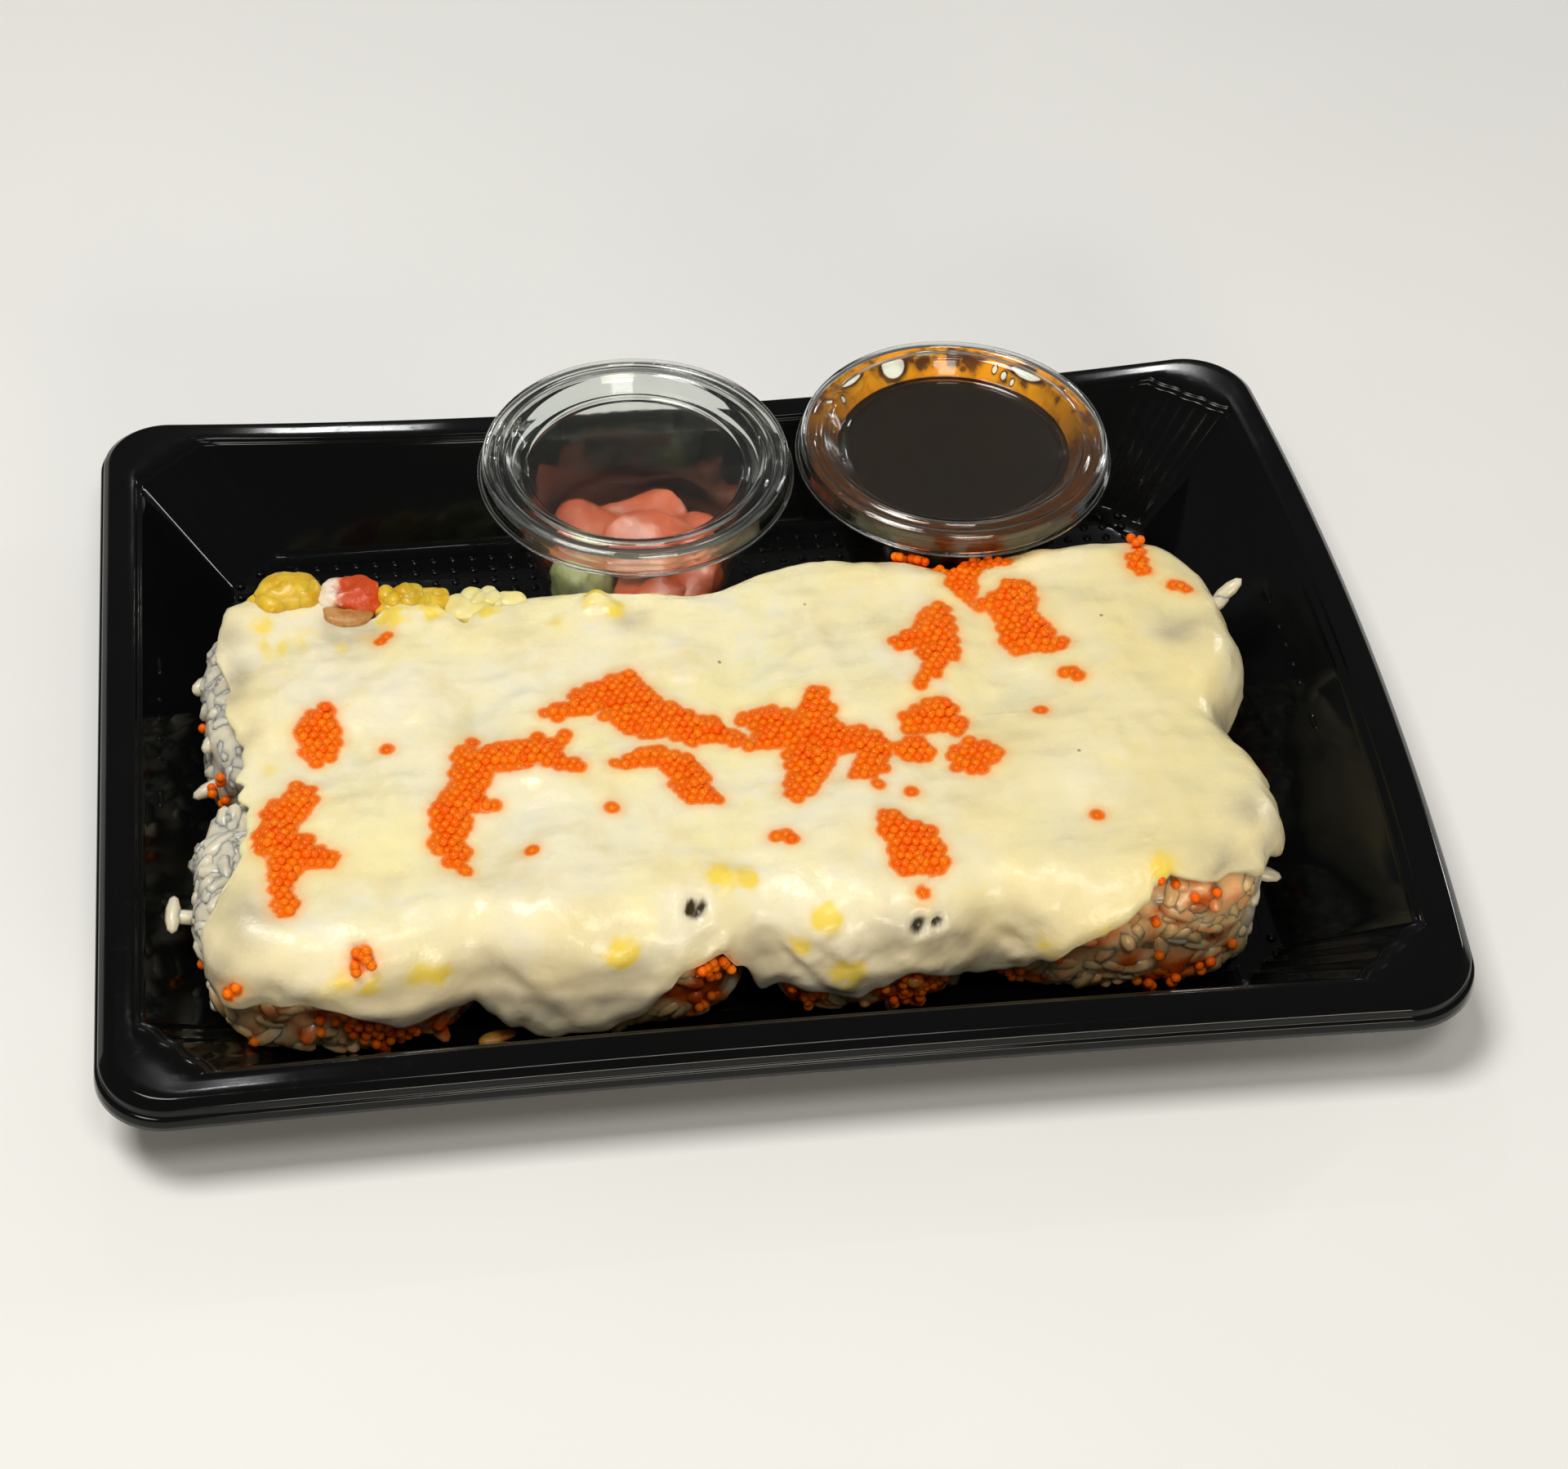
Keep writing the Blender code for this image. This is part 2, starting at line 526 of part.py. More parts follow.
def stray_grains(name):
    entries = STRAY_GRAINS.get(name, [])
    return [
        grain_points(np.array(middle) * MM, direction, GRAIN_LENGTH, GRAIN_WIDTH)
        for middle, direction in entries
    ]


def lip_height(place):
    """Height of the sheet's lower edge at the outline nearest to a plan point."""
    drop = edge_drop(np.array([place]))[0]
    return SHEET_UNDERSIDE - SHEET_ROUND - max(0.0, drop - SHEET_ROUND * math.pi / 2)


def block_outline(around):
    """The plan outline that the sheet hangs on: rays from a spine, each as long as the rolls reach, smoothed.

    The field is a soft minimum of the distances to the rolls, and each ray ends where it equals the clearance.
    """
    spine_start, spine_end = BLOCK_SPINE
    straight = spine_end - spine_start
    quarter = math.pi / 2
    arc = BLOCK_REACH * math.pi
    station = np.arange(around) / around * (2 * straight + 2 * arc)
    origin = np.empty((around, 2))
    heading = np.empty((around, 2))
    for index, place in enumerate(station):
        if place < straight:
            origin[index] = (spine_start + place, BLOCK_MIDDLE)
            turn = -quarter
        elif place < straight + arc:
            origin[index] = (spine_end, BLOCK_MIDDLE)
            turn = -quarter + (place - straight) / BLOCK_REACH
        elif place < 2 * straight + arc:
            origin[index] = (spine_end - (place - straight - arc), BLOCK_MIDDLE)
            turn = quarter
        else:
            origin[index] = (spine_start, BLOCK_MIDDLE)
            turn = quarter + (place - 2 * straight - arc) / BLOCK_REACH
        heading[index] = (math.cos(turn), math.sin(turn))
    near, far = np.full(around, SHORTEST_RAY), np.full(around, LONGEST_RAY)
    for _ in range(HALVINGS):
        halfway = (near + far) / 2
        inside = roll_field(origin + heading * halfway[:, None]) < OUTLINE_CLEARANCE
        near = np.where(inside, halfway, near)
        far = np.where(inside, far, halfway)
    return origin, heading, near


def roll_field(points):
    """A soft minimum of the distances from plan points to the rolls' outlines."""
    total = np.zeros(len(points))
    for left, right, middle_y, half_y, _ in ROLLS.values():
        offset = points - ((left + right) / 2, middle_y)
        half_x = (right - left) / 2
        turns = np.arctan2(offset[:, 1], offset[:, 0])
        distance = np.linalg.norm(offset, axis=1) - roll_radius(turns, half_x, half_y)
        total += np.exp(-distance / OUTLINE_SOFTNESS)
    return -OUTLINE_SOFTNESS * np.log(total)


def edge_drop(plan):
    """The sheet's drop at each outline point, eased between the stations round the block."""
    stations = np.array(EDGE_DROPS)
    turn = np.arctan2(plan[:, 1] - BLOCK_MIDDLE, plan[:, 0] * BLOCK_SQUEEZE)
    marks = np.arctan2(stations[:, 1] * MM - BLOCK_MIDDLE, stations[:, 0] * MM * BLOCK_SQUEEZE)
    order = np.argsort(marks)
    marks, drops = marks[order], stations[order, 2] * MM
    marks = np.concatenate([marks[-1:] - TAU, marks, marks[:1] + TAU])
    drops = np.concatenate([drops[-1:], drops, drops[:1]])
    slot = np.clip(np.searchsorted(marks, turn) - 1, 0, len(marks) - 2)
    share = (turn - marks[slot]) / (marks[slot + 1] - marks[slot])
    eased = share * share * (3 - 2 * share)
    return drops[slot] + (drops[slot + 1] - drops[slot]) * eased


def sheet_relief(x, y):
    """Height of the sheet above its level: valleys over the seams between rolls, and soft lumps."""
    front = y < BLOCK_MIDDLE
    relief = -0.5 * VALLEY_DEPTH * np.exp(-(((y - BLOCK_MIDDLE) / VALLEY_WIDTH) ** 2))
    for name, (_, right, _, _, _) in ROLLS.items():
        if name.endswith("_4"):
            continue
        in_row = front if "front" in name else ~front
        relief = relief - in_row * VALLEY_DEPTH * np.exp(-(((x - right) / VALLEY_WIDTH) ** 2))
    return relief


def sheet_point(outline, travel, offset):
    """Points of the sheet: travel runs outwards from where it starts to bend down, offset out of its face."""
    origin, heading, reach = outline
    bend = np.clip(travel / SHEET_ROUND, 0, math.pi / 2)
    hang = np.maximum(0.0, travel - SHEET_ROUND * math.pi / 2)
    inset = SHEET_ROUND - (SHEET_ROUND + offset) * np.sin(bend) + np.maximum(0.0, -travel)
    plan = origin + heading * (reach - inset)[:, None]
    flat = np.clip(1.0 + np.minimum(0.0, -travel) / SHEET_ROUND, 0, 1)
    relief = sheet_relief(plan[:, 0], plan[:, 1]) * flat
    height = SHEET_UNDERSIDE - SHEET_ROUND + (SHEET_ROUND + offset) * np.cos(bend) - hang + relief
    return np.column_stack([plan, height])


def sheet_thickness(plan):
    lumps = smooth_noise(plan[:, 0], plan[:, 1], 5, LUMP_LENGTH)
    return SHEET_THICKNESS * (1.0 + THICKNESS_CHANGE * lumps)


def sheet_travels(stations, spine, drop):
    """Where each ring lies along the sheet: over the top, round the bend and down the side."""
    over, around, down = stations
    quarter = SHEET_ROUND * TAU / 4
    travels = [spine * (1.0 - share) for share in over]
    travels += [drop * 0.0 + quarter * share for share in around]
    travels += [quarter + share * np.maximum(drop - quarter, 0.0) for share in down]
    last = len(travels) - 1
    return [np.minimum(travel, drop - (last - index) * LEAST_STEP) for index, travel in enumerate(travels)]


def make_cheese():
    """One closed sheet: rings from the spine out over the edge to the lip, round it and back underneath."""
    outline = block_outline(SHEET_AROUND)
    origin, heading, reach = outline
    drop = edge_drop(origin + heading * reach[:, None])
    spine = -(reach - SHEET_ROUND)
    rings = []
    for travel in sheet_travels(UPPER_STATIONS, spine, drop):
        flat = sheet_point(outline, travel, 0 * travel)
        rings.append(sheet_point(outline, travel, sheet_thickness(flat)))
    rings.append(sheet_point(outline, drop + LIP_REACH, 0 * drop + LIP_OFFSET))
    for travel in sheet_travels(LOWER_STATIONS, spine, drop)[::-1]:
        rings.append(sheet_point(outline, travel, 0 * travel))
    faces = ring_faces(len(rings), SHEET_AROUND, cap_start=False, cap_end=False)
    sheet = make_object("cheese", np.vstack(rings), faces, CHEESE)
    close_spine(sheet)
    return sheet


def close_spine(sheet):
    """Joins the first and the last ring, each folded flat on the spine, into closed seams."""
    shell = bmesh.new()
    shell.from_mesh(sheet.data)
    open_edges = [edge for edge in shell.edges if edge.is_boundary]
    bmesh.ops.holes_fill(shell, edges=open_edges, sides=0)
    bmesh.ops.triangulate(shell, faces=shell.faces)
    bmesh.ops.recalc_face_normals(shell, faces=shell.faces)
    shell.to_mesh(sheet.data)
    shell.free()
    sheet.data.shade_smooth()


def roe_pieces():
    """Grains of roe half sunk in the sheet, spread along each patch by a seeded draw across its width."""
    draws = np.random.default_rng(17)
    outline = block_outline(SHEET_AROUND)
    pieces = []
    for line, half_width, count in ROE_PATCHES:
        path = np.array(line) * MM
        lengths = np.concatenate([[0.0], np.cumsum(np.linalg.norm(np.diff(path, axis=0), axis=1))])
        for number in range(count):
            place = lengths[-1] * (number + 0.5) / count
            middle = np.array([np.interp(place, lengths, path[:, axis]) for axis in (0, 1)])
            middle = middle + draws.uniform(-1, 1, 2) * half_width * MM * ROE_SPREAD
            level = top_level(middle) - ROE_SUNK * ROE_RADIUS
            direction = (1.0, 0.0, 0.0)
            pieces.append(grain_points((*middle, level), direction, 2 * ROE_RADIUS, 2 * ROE_RADIUS))
    return pieces


def crumb_pieces():
    """Flat lumps of egg half sunk in the sheet's upper face."""
    pieces = []
    for x, y, half_x, half_y in EGG_CRUMBS:
        middle = np.array([x, y]) * MM
        level = top_level(middle)
        points, faces = grain_points((*middle, level), (1.0, 0.0, 0.0), 2 * half_x * MM, 2 * half_y * MM)
        points[:, 2] = level + (points[:, 2] - level) * CRUMB_FLATNESS
        pieces.append((points, faces))
    return pieces


def top_level(place):
    """Height of the sheet's upper face over a plan point that is away from its edge."""
    plan = np.array([place])
    rise = sheet_relief(plan[:, 0], plan[:, 1]) + sheet_thickness(plan)
    return SHEET_UNDERSIDE + rise[0]


def make_topping(name, seed):
    """An uneven lump: a small sphere stretched to its half sizes, with each point drawn in or out a little."""
    middle, halves, turn = TOPPINGS[name]
    shell = bmesh.new()
    bmesh.ops.create_icosphere(shell, subdivisions=2, radius=1.0)
    points = np.array([vertex.co for vertex in shell.verts])
    faces = [tuple(vertex.index for vertex in face.verts) for face in shell.faces]
    shell.free()
    draws = np.random.default_rng(seed)
    points = np.sign(points) * np.abs(points) ** TOPPING_SQUARENESS
    points = points * (1.0 + draws.uniform(*TOPPING_UNEVENNESS, len(points)))[:, None]
    points = turned_about_z(points * np.array(halves) * MM, turn)
    material = {"crab_stick": CRAB, "shrimp_piece": SHRIMP}.get(name, EGG)
    return make_object(name, points + np.array(middle) * MM, faces, material)


def turned_about_z(points, degrees):
    cosine, sine = math.cos(math.radians(degrees)), math.sin(math.radians(degrees))
    return points @ np.array([[cosine, sine, 0.0], [-sine, cosine, 0.0], [0.0, 0.0, 1.0]])


def turned_about_x(points, degrees):
    cosine, sine = math.cos(math.radians(degrees)), math.sin(math.radians(degrees))
    return points @ np.array([[1.0, 0.0, 0.0], [0.0, cosine, sine], [0.0, -sine, cosine]])


def make_sauce():
    """The dark sauce: a body that follows the cup's inner wall up to its flat surface."""
    axis = CUP_AXES["right"]
    profile = [
        (0.0, CONTENTS_FOOT),
        (cup_inner_radius(CONTENTS_FOOT) - 1.2 * MM, CONTENTS_FOOT),
        (cup_inner_radius(2 * CONTENTS_FOOT) - GAP, 2 * CONTENTS_FOOT),
        (cup_inner_radius(SAUCE_HEIGHT) - GAP, SAUCE_HEIGHT),
        (0.0, SAUCE_HEIGHT),
    ]
    return make_turned("soy_sauce", profile, SAUCE, axis)


def paste_reach(height):
    """Distance from the cup's axis to the middle of the paste, which leans on the tapered wall."""
    return cup_inner_radius(height) - CONTENTS_CLEARANCE - PASTE_RADIUS


def make_paste():
    """The lump of green paste: round slices that lean on the cup's tapered wall, with a domed top."""
    axis = CUP_AXES["left"]
    turns = np.arange(PASTE_SIDES) * TAU / PASTE_SIDES
    rings = []
    for level, share in PASTE_PROFILE:
        reach = paste_reach(level)
        middle = (axis[0] + reach * math.cos(PASTE_ANGLE), axis[1] + reach * math.sin(PASTE_ANGLE))
        rings.append(ring_of(*middle, PASTE_RADIUS * share, turns, level))
    return make_object("green_paste", np.vstack(rings), ring_faces(len(rings), PASTE_SIDES), PASTE)


def make_ginger():
    """Pink slices on a core that fills the cup, hollowed where the paste stands."""
    axis = CUP_AXES["left"]
    turns = np.arange(GINGER_SIDES) * TAU / GINGER_SIDES
    levels = (CONTENTS_FOOT, 2 * CONTENTS_FOOT, GINGER_HEIGHT / 2, GINGER_HEIGHT - GINGER_EDGE, GINGER_HEIGHT)
    clear = PASTE_RADIUS + GINGER_TO_PASTE
    rings = []
    for level in levels:
        wall = cup_inner_radius(level) - CONTENTS_CLEARANCE
        if level in (levels[0], levels[-1]):
            wall = wall - GINGER_EDGE_INSET
        reach = paste_reach(level)
        side = reach * np.sin(turns - PASTE_ANGLE)
        meets = (np.abs(side) < clear) & (np.cos(turns - PASTE_ANGLE) > 0)
        limit = reach * np.cos(turns - PASTE_ANGLE) - np.sqrt(np.clip(clear**2 - side**2, 0, None))
        radius = np.where(meets, np.maximum(limit, MM), wall)
        rings.append(ring_of(*axis, radius, turns, level))
    core = make_object("ginger", np.vstack(rings), ring_faces(len(rings), GINGER_SIDES), GINGER)
    return fuse(core, [slice_points(*entry, axis) for entry in GINGER_SLICES])


def slice_points(middle, halves, tilt, turn, axis):
    """A ginger slice: a flattened sphere, bent along its length, tilted about x and turned about z."""
    shell = bmesh.new()
    bmesh.ops.create_uvsphere(shell, u_segments=10, v_segments=5, radius=1.0)
    points = np.array([vertex.co for vertex in shell.verts])
    faces = [tuple(vertex.index for vertex in face.verts) for face in shell.faces]
    shell.free()
    points = points * np.array(halves) * MM
    along = points[:, 0]
    points[:, 2] += SLICE_WAVE_HEIGHT * np.sin(along * TAU / SLICE_WAVE_LENGTH)
    points[:, 2] -= along**2 / (2 * SLICE_ARCH_RADIUS)
    points = turned_about_z(turned_about_x(points, tilt), turn)
    return points + np.array(middle) * MM + (*axis, 0.0), faces


for leftover in list(bpy.data.objects):
    bpy.data.objects.remove(leftover)

BLACK_PLASTIC = make_material("black_plastic", (0.012, 0.012, 0.013), 0.12)
CLEAR_PLASTIC = make_material("clear_plastic", (0.95, 0.96, 0.95), 0.05, transmission=1.0)
RICE = make_material("rice", (0.72, 0.70, 0.64), 0.4)
CHEESE = make_material("cheese", (0.86, 0.82, 0.62), 0.35)
EGG = make_material("egg", (0.88, 0.66, 0.12), 0.4)
CRAB = make_material("crab", (0.90, 0.72, 0.62), 0.4)
SHRIMP = make_material("shrimp", (0.62, 0.42, 0.34), 0.4)
GINGER = make_material("ginger", (0.72, 0.20, 0.14), 0.3)
PASTE = make_material("paste", (0.50, 0.52, 0.28), 0.5)
SAUCE = make_material("sauce", (0.03, 0.012, 0.006), 0.08)

STAND = bpy.data.objects.new("tray_floor_level", None)
STAND.location = (-BOW_RIGHT / 2, BOW_AT_CORNER * (BOW_BACK - BOW_FRONT) / 2, TRAY_WALL)
bpy.context.collection.objects.link(STAND)

make_tray()
for side, place in CUP_AXES.items():
    make_cup("cup_" + side, place)
    make_lid("lid_" + side, place)
make_sauce()
make_paste()
make_ginger()
for index, roll_name in enumerate(ROLLS):
    roll = make_roll(roll_name, 40 + index)
    fuse(roll, side_grains(roll_name, 60 + index))
fuse(make_cheese(), roe_pieces() + crumb_pieces() + stray_grains("cheese"))
for index, topping in enumerate(TOPPINGS):
    make_topping(topping, 70 + index)
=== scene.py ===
# %% [markdown]
# # A takeaway tray of rice rolls under melted cheese
#
# This lesson dresses a plain CAD model of a black takeaway tray. Eight rice rolls lie in it under one sheet
# of melted cheese with orange roe on top, and two clear cups with lids stand behind them.
# The CAD model is loaded first, because it says where everything is and how big it is. Each new piece is a
# surface worked out with numpy, and each finish is a node material that is written as Python expressions.

# %% Load the frame
import math

import bpy
import numpy as np
from mathutils import Matrix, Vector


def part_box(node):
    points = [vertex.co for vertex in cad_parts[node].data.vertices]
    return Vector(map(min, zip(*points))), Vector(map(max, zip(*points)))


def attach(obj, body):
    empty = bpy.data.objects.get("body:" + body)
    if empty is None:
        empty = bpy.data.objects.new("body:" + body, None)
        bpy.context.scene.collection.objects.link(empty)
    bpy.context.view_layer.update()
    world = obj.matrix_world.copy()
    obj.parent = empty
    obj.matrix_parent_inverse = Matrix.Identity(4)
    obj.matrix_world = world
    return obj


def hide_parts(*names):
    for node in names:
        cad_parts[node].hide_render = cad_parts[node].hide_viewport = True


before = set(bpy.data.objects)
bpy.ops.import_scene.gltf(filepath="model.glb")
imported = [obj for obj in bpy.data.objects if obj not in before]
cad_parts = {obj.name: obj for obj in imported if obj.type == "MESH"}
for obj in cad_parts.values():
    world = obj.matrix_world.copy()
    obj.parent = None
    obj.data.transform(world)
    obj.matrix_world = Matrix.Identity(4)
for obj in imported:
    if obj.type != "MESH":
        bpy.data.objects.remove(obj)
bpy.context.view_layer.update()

print("CAD nodes:", ", ".join(sorted(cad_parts)))

# %% [markdown]
# Food is easier to measure in millimetres from the middle of the tray's floor than in metres from the
# underside, so every shape below is made in those units. The left cup shows how far the two systems lie
# apart: its axis and its foot are known in both. One shift and one scale then put each piece in place.

# %% The tray's own millimetres
MM = 0.001
TAU = 2.0 * math.pi
CUP_AXES = {"left": (-10.2, 33.5), "right": (36.9, 32.9)}
CUP_STANDS = 0.3
cup_low, cup_high = (np.array(corner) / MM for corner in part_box("cup_left"))
cup_middle = (cup_low + cup_high) / 2
SHIFT = np.array([*(cup_middle[:2] - CUP_AXES["left"]), cup_low[2] - CUP_STANDS])
print("The tray's middle lies at", SHIFT.round(3), "mm of the frame")

# %% [markdown]
# A surface is a grid of points: rows along one parameter and columns along the other. The faces between
# them follow from the counts alone. Where a row is drawn together into one point, as at the pole of a
# sphere, its points are made one, and the quads there become triangles, so every solid closes by itself.
# Points count as one when they lie in the same small cell. The cells are shifted by a share of their size,
# so that no round coordinate lies just between two of them.

# %% From grids to closed pieces
WELD, CELL_SHIFT = 0.0005, 0.137


def grid_faces(rows, columns, wrap_rows=False):
    """Quads between neighbouring rows of a grid whose columns run round and meet."""
    row = np.arange(rows if wrap_rows else rows - 1)[:, None]
    column = np.arange(columns)[None, :]
    row_after = (row + 1) % rows
    column_after = (column + 1) % columns
    corners = [row * columns + column, row * columns + column_after]
    corners += [row_after * columns + column_after, row_after * columns + column]
    return np.stack(corners, axis=-1).reshape(-1, 4)


def skin(grid, wrap_rows=False):
    """Points and faces of a grid with the shape (rows, columns, 3)."""
    return grid.reshape(-1, 3), grid_faces(grid.shape[0], grid.shape[1], wrap_rows)


def joined(*shells):
    """Several sets of points and faces as one."""
    counts = np.cumsum([0] + [len(points) for points, _ in shells[:-1]])
    points = np.vstack([points for points, _ in shells])
    return points, np.vstack([faces + start for start, (_, faces) in zip(counts, shells)])


def volume_of(points, faces):
    """Sum of the tetrahedra between the origin and the two halves of each quad."""
    a, b, c, d = (points[faces[:, corner]] for corner in range(4))
    return (a * np.cross(b, c)).sum() / 6 + (a * np.cross(c, d)).sum() / 6


def smooth_mesh(name, points, faces):
    """A mesh whose quads lose the corners that fall together, and the number of its triangles."""
    kept = faces != np.roll(faces, -1, axis=1)
    kept[kept.sum(axis=1) < 3] = False
    sides = kept.sum(axis=1)
    sides = sides[sides > 0]
    mesh = bpy.data.meshes.new(name)
    mesh.vertices.add(len(points))
    mesh.vertices.foreach_set("co", ((points + SHIFT) * MM).astype(np.float32).ravel())
    mesh.loops.add(int(sides.sum()))
    mesh.loops.foreach_set("vertex_index", faces[kept].astype(np.int32))
    mesh.polygons.add(len(sides))
    mesh.polygons.foreach_set("loop_start", (np.cumsum(sides) - sides).astype(np.int32))
    mesh.update(calc_edges=True)
    mesh.validate()
    mesh.shade_smooth()
    return mesh, int((sides - 2).sum())


def put(name, shell, finish, stands_for=(), marks=None):
    """Makes one finished piece that rides on the tray, with its faces turned outwards."""
    points, faces = shell
    cells = np.round(points / WELD + CELL_SHIFT).astype(np.int64)
    _, first, index = np.unique(cells, axis=0, return_index=True, return_inverse=True)
    points, faces = points[first], index.reshape(-1)[faces]
    volume = volume_of(points, faces)
    mesh, triangles = smooth_mesh(name, points, faces if volume > 0 else faces[:, ::-1])
    for mark, values in (marks or {}).items():
        layer = mesh.attributes.new(mark, "FLOAT", "POINT")
        layer.data.foreach_set("value", np.asarray(values)[first].astype(np.float32))
    mesh.materials.append(finish)
    piece = bpy.data.objects.new(name, mesh)
    bpy.context.scene.collection.objects.link(piece)
    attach(piece, "root")
    if stands_for:
        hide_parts(*stands_for)
    print(f"{name}: {triangles} triangles, {abs(volume) / 1000:.2f} ml")


# %% [markdown]
# Nothing on food is quite regular. Plane waves with seeded directions, lengths and phases, added up, give a
# soft noise that is the same in every run. The same waves taken in three planes give a noise in space,
# which doesn't stretch on a steep side. Moulded plastic is the opposite: its section has corners, and each
# corner is rounded a little, because that is what catches a thin line of light.

# %% Noise and rounded sections
NOISE_WAVES = 7


def plane_noise(x, y, seed, wavelength):
    """A sum of plane waves with seeded directions, lengths and phases, between about -1 and 1."""
    draws = np.random.default_rng(seed)
    total = 0.0 * x
    for _ in range(NOISE_WAVES):
        turn = draws.uniform(0, TAU)
        phase = draws.uniform(0, TAU)
        length = wavelength * draws.uniform(0.7, 1.5)
        total = total + np.sin((x * math.cos(turn) + y * math.sin(turn)) * TAU / length + phase)
    return total * 2.0 / NOISE_WAVES


SKEW = np.linalg.qr(np.random.default_rng(3).normal(size=(3, 3)))[0]


def space_noise(points, seed, wavelength):
    """The plane noise of each pair of coordinates, added up, in axes that no side of the food follows."""
    x, y, z = np.moveaxis(points @ SKEW, -1, 0)
    total = plane_noise(x, y, seed, wavelength) + plane_noise(y, z, seed + 1, wavelength)
    return (total + plane_noise(z, x, seed + 2, wavelength)) / math.sqrt(3.0)


def rounded(corners, reach, steps=4):
    """A path whose inner corners are parabolas: (1-t)^2 start + 2t(1-t) corner + t^2 end."""
    corners = np.asarray(corners, float)
    share = np.linspace(0, 1, steps + 1)[:, None]
    path = [corners[:1]]
    for before, corner, after in zip(corners, corners[1:], corners[2:]):
        back, ahead = before - corner, after - corner
        start = corner + back * min(0.45, reach / np.linalg.norm(back))
        end = corner + ahead * min(0.45, reach / np.linalg.norm(ahead))
        path.append((1 - share) ** 2 * start + 2 * share * (1 - share) * corner + share**2 * end)
    return np.vstack([*path, corners[-1:]])


def refined(path, longest):
    """The path with each long run cut into equal steps no longer than this."""
    pieces = [path[:1]]
    for start, end in zip(path, path[1:]):
        steps = max(1, math.ceil(np.linalg.norm(end - start) / longest))
        pieces.append(start + (end - start) * (np.arange(1, steps + 1) / steps)[:, None])
    return np.vstack(pieces)


def once_round(steps):
    """Equal turns from 0 up to a whole turn, without its end."""
    return np.arange(steps) * TAU / steps


def turned(profile, sides, axis, wrap_rows=False):
    """A profile of (radius, height) turned about a vertical axis."""
    turn = once_round(sides)
    radius, height = profile[:, :1], profile[:, 1:]
    grid = [axis[0] + radius * np.cos(turn), axis[1] + radius * np.sin(turn), height + 0 * turn]
    return skin(np.stack(grid, axis=-1), wrap_rows)


# %% [markdown]
# A grid of points also tells which way it faces: the cross product of its two directions. Small things that
# lie on it, such as grains and roe, are placed by the nearest grid point, moved within the plane that
# touches the surface there and then lifted out of it. Each small thing is a unit sphere times three half
# axes, and hundreds of them are worked out in one array.

# %% Facing, placing and scattering
BLOCK_OF_DISTANCES = 4_000_000
NO_LENGTH = 1e-9


def unit(vectors):
    """Vectors divided by their lengths."""
    return vectors / np.maximum(np.linalg.norm(vectors, axis=-1, keepdims=True), NO_LENGTH)


def facing(grid):
    """Unit normals of a grid whose columns meet, turned away from its middle."""
    down = np.gradient(grid, axis=0)
    across = np.roll(grid, -1, axis=1) - np.roll(grid, 1, axis=1)
    normal = unit(np.cross(across, down))
    outwards = (normal * (grid - grid.mean(axis=(0, 1)))).sum()
    return normal if outwards > 0 else -normal


def nearest(targets, places):
    """Index of the place nearest to each target and its distance, in blocks that fit into memory."""
    found, gaps = [], []
    blocks = max(1, len(targets) * len(places) // BLOCK_OF_DISTANCES)
    for block in np.array_split(targets, blocks):
        gap = ((block[:, None] - places[None]) ** 2).sum(axis=-1)
        found.append(gap.argmin(axis=1))
        gaps.append(np.sqrt(gap.min(axis=1)))
    return np.concatenate(found), np.concatenate(gaps)


def settled(targets, places, normals, lift):
    """Targets moved onto the plane that touches the nearest place, then out of it by the lift."""
    index, _ = nearest(targets, places)
    normal = normals[index]
    height = ((targets - places[index]) * normal).sum(axis=1)
    return targets + normal * (np.broadcast_to(lift, height.shape) - height)[:, None], normal


def all_along(direction, count):
    """The same direction for each of several things."""
    return np.tile(np.array(direction, float), (count, 1))


def half_axes(heading, normal, long, wide, thick):
    """Three half axes for each thing: along its heading, across it, and out of the surface."""
    along = unit(heading - (heading * normal).sum(axis=1, keepdims=True) * normal)
    sizes = [np.broadcast_to(size, len(normal))[:, None] for size in (long, wide, thick)]
    return np.stack([along * sizes[0], np.cross(normal, along) * sizes[1], normal * sizes[2]], axis=1)


def scattered(centres, axes, rings=6, sides=8, bend=0.0):
    """One small closed ellipsoid for each centre. With a bend its ends curl up, as a rice grain's do."""
    polar = np.linspace(0, math.pi, rings)[:, None]
    turn = once_round(sides)
    along = np.cos(polar) + 0 * turn
    across = [np.sin(polar) * np.cos(turn), np.sin(polar) * np.sin(turn) + bend * along**2]
    sphere = np.stack([along, *across], axis=-1).reshape(-1, 3)
    points = centres[:, None] + np.einsum("pk,nkj->npj", sphere, axes)
    starts = np.arange(len(centres))[:, None, None] * len(sphere)
    return points.reshape(-1, 3), (grid_faces(rings, sides)[None] + starts).reshape(-1, 4)


# %% [markdown]
# A finish is a small network of nodes. Written by hand that takes many lines, so two classes carry it: a
# `Strand` is one output of a node, and + - * on strands add Math nodes; a `Finish` adds any other node from
# its type, its settings and the values of its sockets. Colours are given as the photo's 0 to 255 and
# turned into the linear light that the shader wants.

# %% Shader expressions
def tone(red, green, blue):
    """A display colour as linear light, with full opacity."""
    shares = np.array([red, green, blue]) / 255.0
    linear = np.where(shares > 0.04045, ((shares + 0.055) / 1.055) ** 2.4, shares / 12.92)
    return (*linear.tolist(), 1.0)


def soaked(weight, *depths):
    """Sockets for light that enters and runs on: red, green and blue go this many millimetres."""
    radius = tuple(depth * MM for depth in depths)
    return {"Subsurface_Weight": weight, "Subsurface_Radius": radius, "Subsurface_Scale": 1.0}


